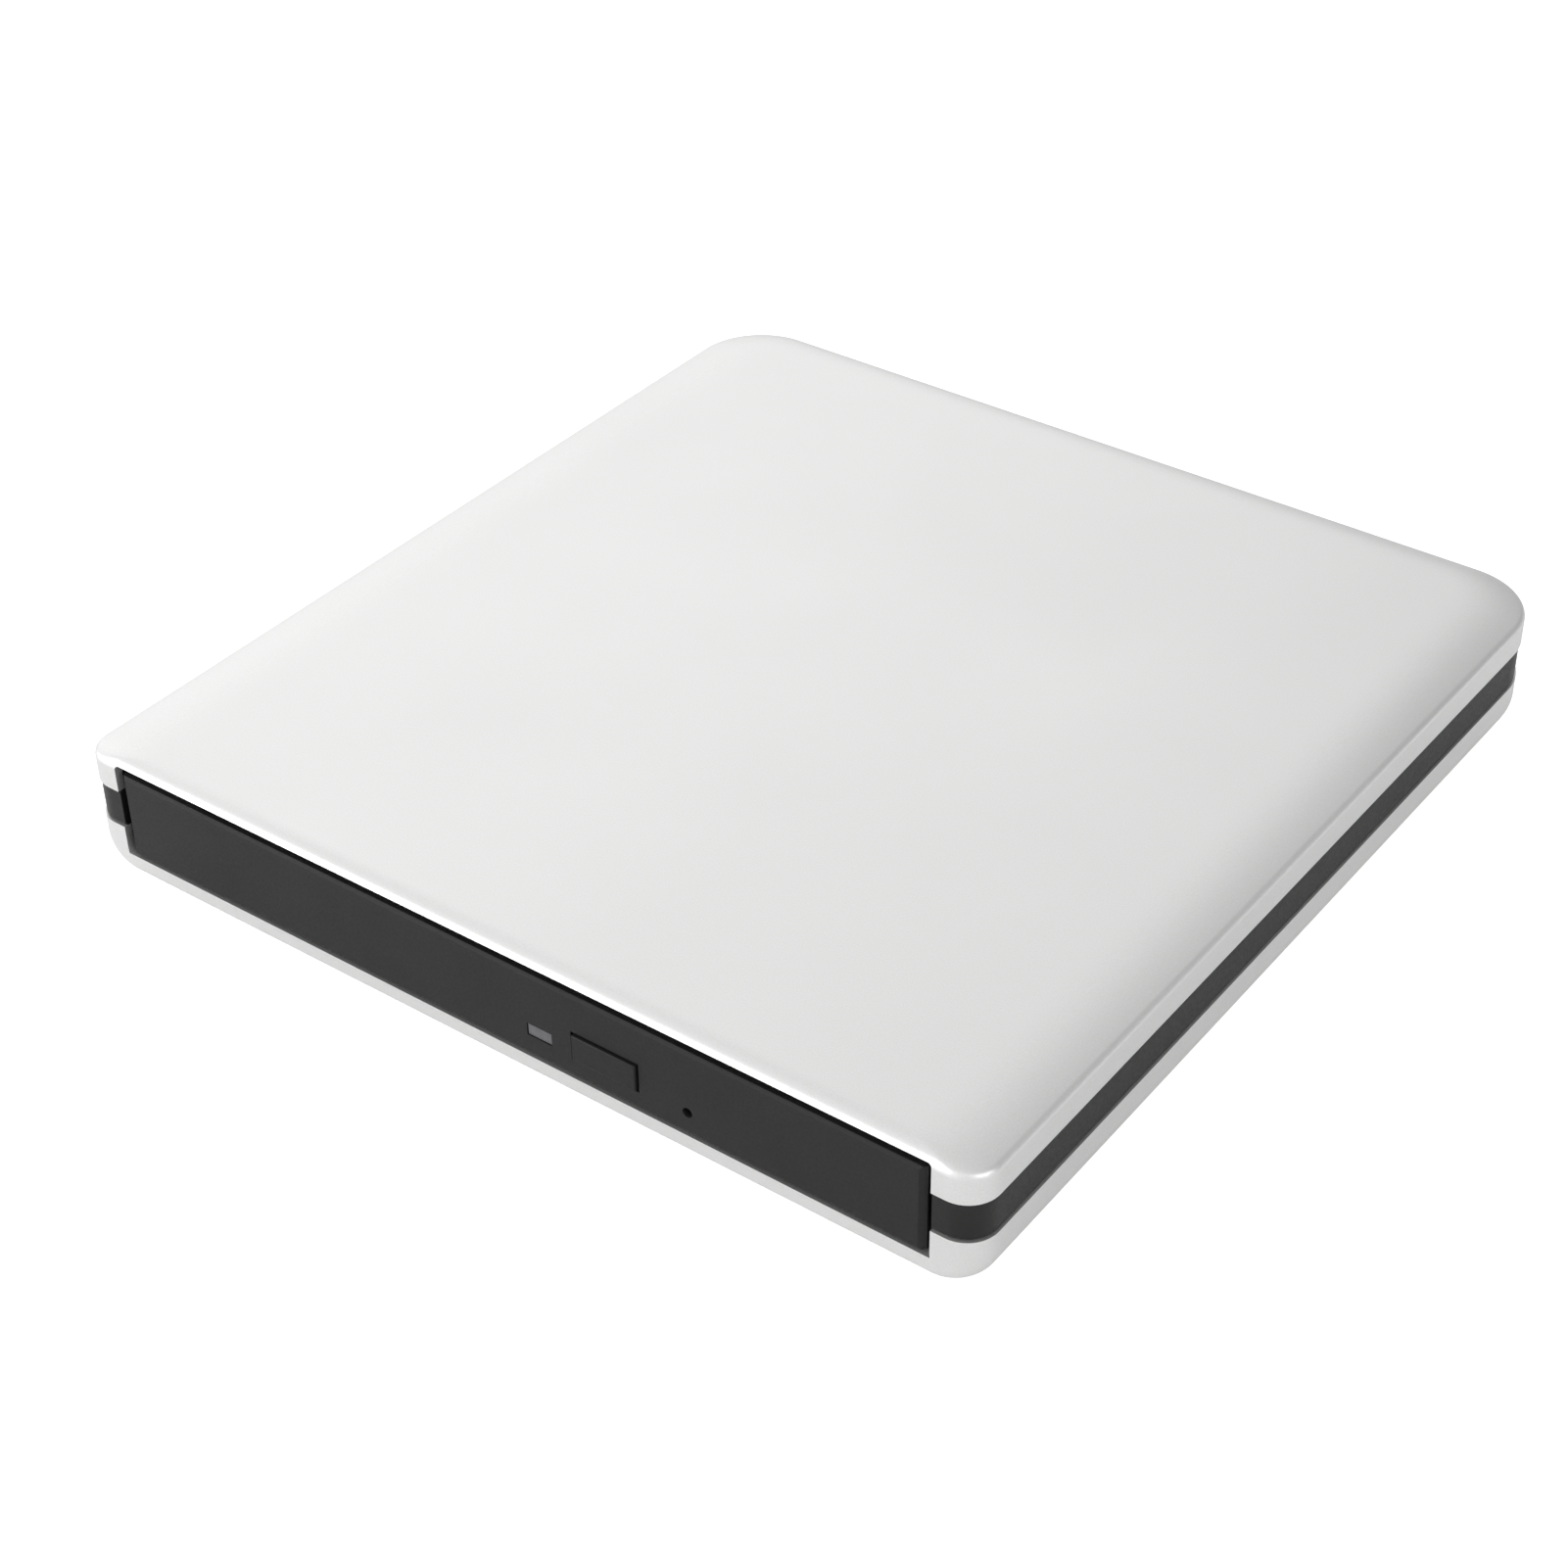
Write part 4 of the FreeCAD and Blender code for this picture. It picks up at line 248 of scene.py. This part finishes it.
def plated_steel(name, colour, roughness, brushed=(1, 1, 1)):
    """Plated or rolled steel, with streaks where it is brushed."""
    made, tree, shader = material(name, colour, metallic=1.0, roughness=roughness)
    streak = noise(tree, scale=900, detail=3, roughness=0.6, stretch=brushed)
    cloud = noise(tree, scale=70, detail=3)
    tree.links.new(tint(tree, cloud, dark=shade(colour, 0.88), light=shade(colour, 1.07)),
                   shader.inputs["Base Color"])
    tree.links.new(spread(tree, streak, low=roughness - 0.06, high=roughness + 0.08),
                   shader.inputs["Roughness"])
    bump(tree, shader, streak, depth_mm=0.01, strength=0.25)
    return made


def moulded_pale(name, colour):
    """Natural acetal or other pale moulded plastic."""
    made, tree, shader = material(name, colour, roughness=0.45)
    cloud = noise(tree, scale=90, detail=3)
    tree.links.new(tint(tree, cloud, dark=shade(colour, 0.93), light=shade(colour, 1.05)),
                   shader.inputs["Base Color"])
    bump(tree, shader, noise(tree, scale=1500, detail=2), depth_mm=0.01, strength=0.3)
    return made


def circuit_board():
    """Green solder mask over copper tracks."""
    made, tree, shader = material("circuit_board", (0.02, 0.13, 0.06), roughness=0.35)
    coordinates = tree.nodes.new("ShaderNodeTexCoord")
    tracks = tree.nodes.new("ShaderNodeTexBrick")
    tracks.inputs["Scale"].default_value = 260
    tracks.inputs["Mortar Size"].default_value = 0.06
    tracks.inputs["Mortar Smooth"].default_value = 0.3
    tracks.inputs["Color1"].default_value = (0.02, 0.12, 0.05, 1)
    tracks.inputs["Color2"].default_value = (0.025, 0.15, 0.07, 1)
    tracks.inputs["Mortar"].default_value = (0.05, 0.24, 0.11, 1)
    tree.links.new(coordinates.outputs["Object"], tracks.inputs["Vector"])
    tree.links.new(tracks.outputs["Color"], shader.inputs["Base Color"])
    bump(tree, shader, tracks.outputs["Fac"], depth_mm=0.03, strength=0.5)
    return made


def smoked_window():
    """Smoked translucent plastic of the status window."""
    made, tree, shader = material("smoked_window", (0.11, 0.11, 0.12), roughness=0.35)
    cloud = noise(tree, scale=900)
    tree.links.new(tint(tree, cloud, dark=(0.1, 0.1, 0.108), light=(0.125, 0.125, 0.135)),
                   shader.inputs["Base Color"])
    return made


def coated_glass():
    """Dark lens glass with a violet coating."""
    made, tree, shader = material("coated_glass", (0.05, 0.06, 0.13), roughness=0.04)
    shader.inputs["Coat Weight"].default_value = 1.0
    shader.inputs["Coat Roughness"].default_value = 0.02
    cloud = noise(tree, scale=150)
    tree.links.new(tint(tree, cloud, dark=(0.04, 0.05, 0.14), light=(0.07, 0.05, 0.15)),
                   shader.inputs["Base Color"])
    return made


def amber_film():
    """Amber film of the flat cable, with its conductors showing as fine lines."""
    made, tree, shader = material("amber_film", (0.55, 0.3, 0.08), roughness=0.3)
    lines = noise(tree, scale=900, stretch=(1, 0.01, 1))
    tree.links.new(tint(tree, lines, dark=(0.42, 0.2, 0.05), light=(0.62, 0.36, 0.1)),
                   shader.inputs["Base Color"])
    return made


MATERIALS = {
    "shell": blasted_aluminium(),
    "band": moulded_black("band_plastic", (0.0095, 0.0093, 0.0091), 0.42),
    "foot": soft_rubber("foot_rubber", (0.03, 0.03, 0.03)),
    "screw": plated_steel("screw_steel", (0.45, 0.45, 0.46), 0.35),
    "board": circuit_board(),
    "chip": moulded_black("chip_epoxy", (0.02, 0.02, 0.021), 0.55),
    "plated": plated_steel("plated_steel", (0.72, 0.72, 0.7), 0.22),
    "connector": moulded_black("connector_plastic", (0.015, 0.015, 0.016), 0.45),
    "sheet_steel": plated_steel("sheet_steel", (0.5, 0.5, 0.49), 0.34, brushed=(1, 0.05, 1)),
    "frame_steel": moulded_black("frame_coating", (0.05, 0.05, 0.055), 0.5),
    "guide": moulded_pale("acetal", (0.75, 0.74, 0.68)),
    "rail": plated_steel("rail_steel", (0.62, 0.62, 0.61), 0.3, brushed=(1, 0.05, 1)),
    "film": amber_film(),
    "tray": moulded_black("tray_plastic", (0.025, 0.025, 0.026), 0.5),
    "bezel": moulded_black("bezel_plastic", (0.012, 0.0113, 0.0116), 0.5),
    "window": smoked_window(),
    "copper": plated_steel("enamelled_copper", (0.62, 0.27, 0.12), 0.35),
    "damper": soft_rubber("damper_rubber", (0.05, 0.05, 0.05)),
    "bronze": plated_steel("bronze", (0.55, 0.38, 0.18), 0.35),
    "magnet": plated_steel("sintered_magnet", (0.16, 0.16, 0.17), 0.5),
    "hub": moulded_black("hub_plastic", (0.03, 0.03, 0.03), 0.4),
    "pickup": plated_steel("die_cast", (0.42, 0.42, 0.43), 0.5),
    "lens": coated_glass(),
}


# Mesh helpers

def add_object(name, mesh, body, slot):
    """Links a mesh as a piece that rides on a body and has a slot's material."""
    piece = bpy.data.objects.new(name, mesh)
    bpy.context.scene.collection.objects.link(piece)
    mesh.materials.clear()
    mesh.materials.append(MATERIALS[slot])
    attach(piece, body)
    return piece


def smooth(mesh, degrees):
    """Smooth shading, with edges sharper than the angle kept."""
    mesh.polygons.foreach_set("use_smooth", [True] * len(mesh.polygons))
    mesh.set_sharp_from_angle(angle=math.radians(degrees))
    mesh.update()


def baked(piece):
    """Applies a piece's modifiers to its mesh."""
    graph = bpy.context.evaluated_depsgraph_get()
    mesh = bpy.data.meshes.new_from_object(piece.evaluated_get(graph))
    piece.modifiers.clear()
    old, piece.data = piece.data, mesh
    bpy.data.meshes.remove(old)
    return mesh


def body_of(node):
    """Body that a node rides on."""
    for body, members in frame["record"]["behaviour"]["bodies"].items():
        if node in members:
            return body


def slot_of(node):
    """Material slot of a node."""
    for row in frame["record"]["subparts"]:
        if row["node"] == node:
            return row["material_slot"]


def softened(node, width_mm):
    """Copy of a node with its sharp edges rounded, which stands for the node."""
    mesh = frame["nodes"][node].data.copy()
    work = bmesh.new()
    work.from_mesh(mesh)
    bmesh.ops.remove_doubles(work, verts=work.verts, dist=WELD)
    bmesh.ops.dissolve_limit(work, angle_limit=math.radians(FLAT_WITHIN), verts=work.verts,
                             edges=work.edges)
    work.to_mesh(mesh)
    work.free()
    mesh.polygons.foreach_set("use_smooth", [True] * len(mesh.polygons))
    piece = add_object(node + "_soft", mesh, body_of(node), slot_of(node))
    rounding = piece.modifiers.new("rounding", "BEVEL")
    rounding.width = width_mm * MM
    rounding.segments = ROUNDING_STEPS
    rounding.limit_method = "ANGLE"
    rounding.angle_limit = math.radians(ROUNDED_FROM)
    rounding.harden_normals = False
    level = piece.modifiers.new("level", "WEIGHTED_NORMAL")
    level.weight = 80
    level.keep_sharp = True
    baked(piece)
    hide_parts(node)


# Case shells

def outline(inset_side, inset_front, inset_rear):
    """Points of the case's plan outline, drawn in, anticlockwise from the front right corner."""
    x = SIDE - inset_side
    y0, y1 = FRONT + inset_front, REAR - inset_rear
    rf = max(FRONT_CORNER_R - min(inset_side, inset_front), LEAST_CORNER_R)
    rr = max(REAR_CORNER_R - min(inset_side, inset_rear), LEAST_CORNER_R)
    corners = [(x - rf, y0 + rf, rf, -90), (x - rr, y1 - rr, rr, 0),
               (rr - x, y1 - rr, rr, 90), (rf - x, y0 + rf, rf, 180)]
    points = []
    for n, (cx, cy, r, first) in enumerate(corners):
        for step in range(CORNER_STEPS + 1):
            a = math.radians(first + 90 * step / CORNER_STEPS)
            points.append((cx + r * math.cos(a), cy + r * math.sin(a)))
        nx, ny, nr, following = corners[(n + 1) % 4]
        b = math.radians(following)
        start, end = points[-1], (nx + nr * math.cos(b), ny + nr * math.sin(b))
        for step in range(1, SIDE_STEPS):
            t = step / SIDE_STEPS
            points.append((start[0] + (end[0] - start[0]) * t, start[1] + (end[1] - start[1]) * t))
    return points


def roll_fall(u, roll, fall, edge_h):
    """How far a rolled surface has fallen, at u in from its edge.

    A roll is its whole width and the reach of the rounded edge at its outside."""
    width, reach = roll
    gentle = fall * max(0.0, 1 - u / width) ** 3
    if u >= reach:
        return gentle
    return gentle + edge_h * (1 - math.sqrt(1 - (1 - u / reach) ** 2))


def roll_place(fallen, roll, fall, edge_h):
    """How far in from its edge a rolled surface has fallen by the amount given."""
    low, high = 0.0, roll[0]
    for _ in range(40):
        middle = (low + high) / 2
        if roll_fall(middle, roll, fall, edge_h) > fallen:
            low = middle
        else:
            high = middle
    return high


def rolled_rings(inset, z_far, z_flat, rolls, fall, edge_h):
    """Rings of points of a block that rolls over to its sides, rear and front, and its flat face."""
    side, rear, front = rolls
    width, reach = side
    turn = 1 if z_far > z_flat else -1
    steps = [reach * (1 - math.cos(math.radians(a))) for a in range(0, 91, EDGE_STEP)]
    steps += [reach + (width - reach) * n / ROLL_STEPS for n in range(1, ROLL_STEPS)]
    rings = [[(x, y, z_far) for x, y in outline(inset, inset, inset)]]
    for u in steps:
        fallen = roll_fall(u, side, fall, edge_h)
        rear_u = roll_place(fallen, rear, fall, edge_h)
        front_u = roll_place(fallen, front, fall, edge_h)
        z = z_flat + turn * fallen
        rings.append([(x, y, z) for x, y in outline(inset + u, inset + front_u, inset + rear_u)])
    rings.append([(x, y, z_flat) for x, y in outline(inset + width, inset + front[0], inset + rear[0])])
    return rings


def closed_mesh(name, rings):
    """Closed mesh through rings of equal length, with a face over each end."""
    work = bmesh.new()
    rows = [[work.verts.new(Vector(p) * MM) for p in ring] for ring in rings]
    count = len(rows[0])
    for lower, upper in zip(rows, rows[1:]):
        for n in range(count):
            work.faces.new((lower[n], lower[(n + 1) % count], upper[(n + 1) % count], upper[n]))
    work.faces.new(list(reversed(rows[0])))
    work.faces.new(rows[-1])
    bmesh.ops.recalc_face_normals(work, faces=work.faces)
    mesh = bpy.data.meshes.new(name)
    work.to_mesh(mesh)
    work.free()
    return mesh


def cylinder_mesh(name, x, y, r, z0, z1):
    """Closed upright cylinder."""
    turns = [2 * math.pi * n / ROUND_STEPS for n in range(ROUND_STEPS)]
    rings = [[(x + r * math.cos(a), y + r * math.sin(a), z) for a in turns] for z in (z0, z1)]
    return closed_mesh(name, rings)


def cut_away(piece, meshes):
    """Cuts closed meshes out of a piece."""
    cutters = []
    for mesh in meshes:
        cutter = bpy.data.objects.new("cutter", mesh)
        bpy.context.scene.collection.objects.link(cutter)
        cutters.append(cutter)
        step = piece.modifiers.new("cut", "BOOLEAN")
        step.operation = "DIFFERENCE"
        step.solver = "EXACT"
        step.object = cutter
    mesh = baked(piece)
    for cutter in cutters:
        old = cutter.data
        bpy.data.objects.remove(cutter)
        bpy.data.meshes.remove(old)
    return mesh


def opening_mesh():
    """Room of the bezel in the shells, with rounded upper corners."""
    r, top = OPENING_CORNER_R, Z_ROOF + OPENING_OVER
    section = [(-OPENING_HALF, Z_OPENING), (OPENING_HALF, Z_OPENING)]
    for side, first in ((1, 0), (-1, 90)):
        for step in range(MOUTH_STEPS + 1):
            a = math.radians(first + 90 * step / MOUTH_STEPS)
            section.append((side * (OPENING_HALF - r) + r * math.cos(a), top - r + r * math.sin(a)))
    rings = [[(x, y, z) for x, z in section] for y in (FRONT - CUT_OVER, OPENING_BACK)]
    return closed_mesh("opening", rings)


def top_shell():
    """Top shell with its gentle rolls, open below and at the front."""
    outer = rolled_rings(0, Z_BAND_HIGH, Z_TOP, TOP_ROLLS, TOP_DROP, TOP_EDGE_H)
    inner = rolled_rings(SHELL_WALL, Z_BAND_HIGH - CUT_OVER, Z_ROOF, TOP_ROLLS, TOP_DROP, TOP_EDGE_H)
    piece = add_object("top_shell", closed_mesh("top_shell", outer), "housing", "shell")
    mesh = cut_away(piece, [closed_mesh("inner", inner), opening_mesh()])
    smooth(mesh, SHELL_SHARP)
    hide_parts("top_cover")


def bottom_shell():
    """Bottom shell with the recesses of its feet and screws."""
    outer = rolled_rings(0, Z_BAND_LOW, Z_BASE, BASE_ROLLS, BASE_RISE, BASE_EDGE_H)
    inner = rolled_rings(SHELL_WALL, Z_BAND_LOW + CUT_OVER, Z_FLOOR, BASE_ROLLS, BASE_RISE, BASE_EDGE_H)
    piece = add_object("bottom_shell", closed_mesh("bottom_shell", outer), "housing", "shell")
    cutters = [closed_mesh("inner", inner), opening_mesh()]
    for x, y, r in loose_centres("rubber_feet"):
        cutters.append(cylinder_mesh("sink", x, y, r + RECESS_GAP, Z_BASE - CUT_OVER, foot_high.z))
    for x, y, r in loose_centres("case_screws"):
        cutters.append(cylinder_mesh("hole", x, y, r + RECESS_GAP, Z_BASE - CUT_OVER, Z_FLOOR + CUT_OVER))
    mesh = cut_away(piece, cutters)
    smooth(mesh, SHELL_SHARP)
    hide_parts("bottom_cover")


def loose_centres(node):
    """Centre and radius in plan of each separate solid of a node, in millimetres."""
    work = bmesh.new()
    work.from_mesh(frame["nodes"][node].data)
    bmesh.ops.remove_doubles(work, verts=work.verts, dist=WELD)
    left, found = set(work.verts), []
    while left:
        island, edge = set(), [left.pop()]
        while edge:
            vert = edge.pop()
            island.add(vert)
            for link in vert.link_edges:
                other = link.other_vert(vert)
                if other in left:
                    left.remove(other)
                    edge.append(other)
        xs = [v.co.x / MM for v in island]
        ys = [v.co.y / MM for v in island]
        found.append(((min(xs) + max(xs)) / 2, (min(ys) + max(ys)) / 2, (max(xs) - min(xs)) / 2))
    work.free()
    return sorted(found)


def dress_nodes():
    """Gives every node but the shells its material, and some of them rounded edges."""
    for node, item in frame["nodes"].items():
        if node in ("top_cover", "bottom_cover"):
            continue
        if node in EDGE_ROUNDING:
            softened(node, EDGE_ROUNDING[node])
            continue
        item.data.materials.clear()
        item.data.materials.append(MATERIALS[slot_of(node)])


# Stage, light and camera

def stage():
    """Pale floor under the object, wide enough to fill every view."""
    work = bmesh.new()
    bmesh.ops.create_grid(work, x_segments=1, y_segments=1, size=FLOOR_HALF)
    mesh = bpy.data.meshes.new("floor")
    work.to_mesh(mesh)
    work.free()
    floor = bpy.data.objects.new("floor", mesh)
    bpy.context.scene.collection.objects.link(floor)
    mesh.materials.append(floor_paper())


def floor_paper():
    """White paper; the camera sees it lifted to white, but for the shadow close to the object."""
    made, tree, shader = material("floor_paper", (0.9, 0.9, 0.9), roughness=0.9, specular=0.1)
    path = tree.nodes.new("ShaderNodeLightPath")
    lift = tree.nodes.new("ShaderNodeMath")
    lift.operation = "MULTIPLY"
    lift.inputs[1].default_value = FLOOR_LIFT
    tree.links.new(path.outputs["Is Camera Ray"], lift.inputs[0])
    tree.links.new(lift.outputs["Value"], shader.inputs["Emission Strength"])
    shader.inputs["Emission Color"].default_value = (1, 1, 1, 1)
    return made


def lamp(name, at, aim, size, watts):
    """Square soft lamp that faces a place."""
    light = bpy.data.lights.new(name, "AREA")
    light.shape = "RECTANGLE"
    light.size, light.size_y = size
    light.energy = watts
    item = bpy.data.objects.new(name, light)
    bpy.context.scene.collection.objects.link(item)
    item.location = at
    item.rotation_euler = (Vector(aim) - Vector(at)).to_track_quat("-Z", "Y").to_euler()


def lights():
    """White room that dims to the rear right, plain white to the camera, and three soft lamps."""
    world = bpy.data.worlds.new("studio")
    world.use_nodes = True
    tree = world.node_tree
    room = tree.nodes["Background"]
    room.inputs["Color"].default_value = (1, 1, 1, 1)
    direction = tree.nodes.new("ShaderNodeTexCoord")
    towards = tree.nodes.new("ShaderNodeVectorMath")
    towards.operation = "DOT_PRODUCT"
    towards.inputs[1].default_value = ROOM_TOWARDS
    level = tree.nodes.new("ShaderNodeMapRange")
    level.interpolation_type = "SMOOTHSTEP"
    level.inputs["From Min"].default_value = -1.0
    level.inputs["From Max"].default_value = 1.0
    level.inputs["To Min"].default_value = ROOM_DIM
    level.inputs["To Max"].default_value = ROOM_BRIGHT
    tree.links.new(direction.outputs["Generated"], towards.inputs[0])
    tree.links.new(towards.outputs["Value"], level.inputs["Value"])
    tree.links.new(level.outputs["Result"], room.inputs["Strength"])
    backdrop = tree.nodes.new("ShaderNodeBackground")
    backdrop.inputs["Color"].default_value = (1, 1, 1, 1)
    path = tree.nodes.new("ShaderNodeLightPath")
    mix = tree.nodes.new("ShaderNodeMixShader")
    tree.links.new(path.outputs["Is Camera Ray"], mix.inputs["Fac"])
    tree.links.new(room.outputs["Background"], mix.inputs[1])
    tree.links.new(backdrop.outputs["Background"], mix.inputs[2])
    tree.links.new(mix.outputs["Shader"], tree.nodes["World Output"].inputs["Surface"])
    bpy.context.scene.world = world
    for name, (at, aim, size, watts) in LAMPS.items():
        lamp(name, at, aim, size, watts)


def camera():
    """Camera that sees the object as the photograph does."""
    data = bpy.data.cameras.new("camera")
    data.sensor_width = 36.0
    data.lens = FOCAL_LENGTH
    data.clip_start = 0.01
    item = bpy.data.objects.new("camera", data)
    bpy.context.scene.collection.objects.link(item)
    look = (CAMERA_AIM - CAMERA_AT).to_track_quat("-Z", "Y").to_matrix().to_4x4()
    item.matrix_world = Matrix.Translation(CAMERA_AT) @ look @ Matrix.Rotation(CAMERA_ROLL, 4, "Z")
    bpy.context.scene.camera = item


top_shell()
bottom_shell()
dress_nodes()
stage()
lights()
camera()
bpy.context.scene.view_settings.view_transform = "Standard"
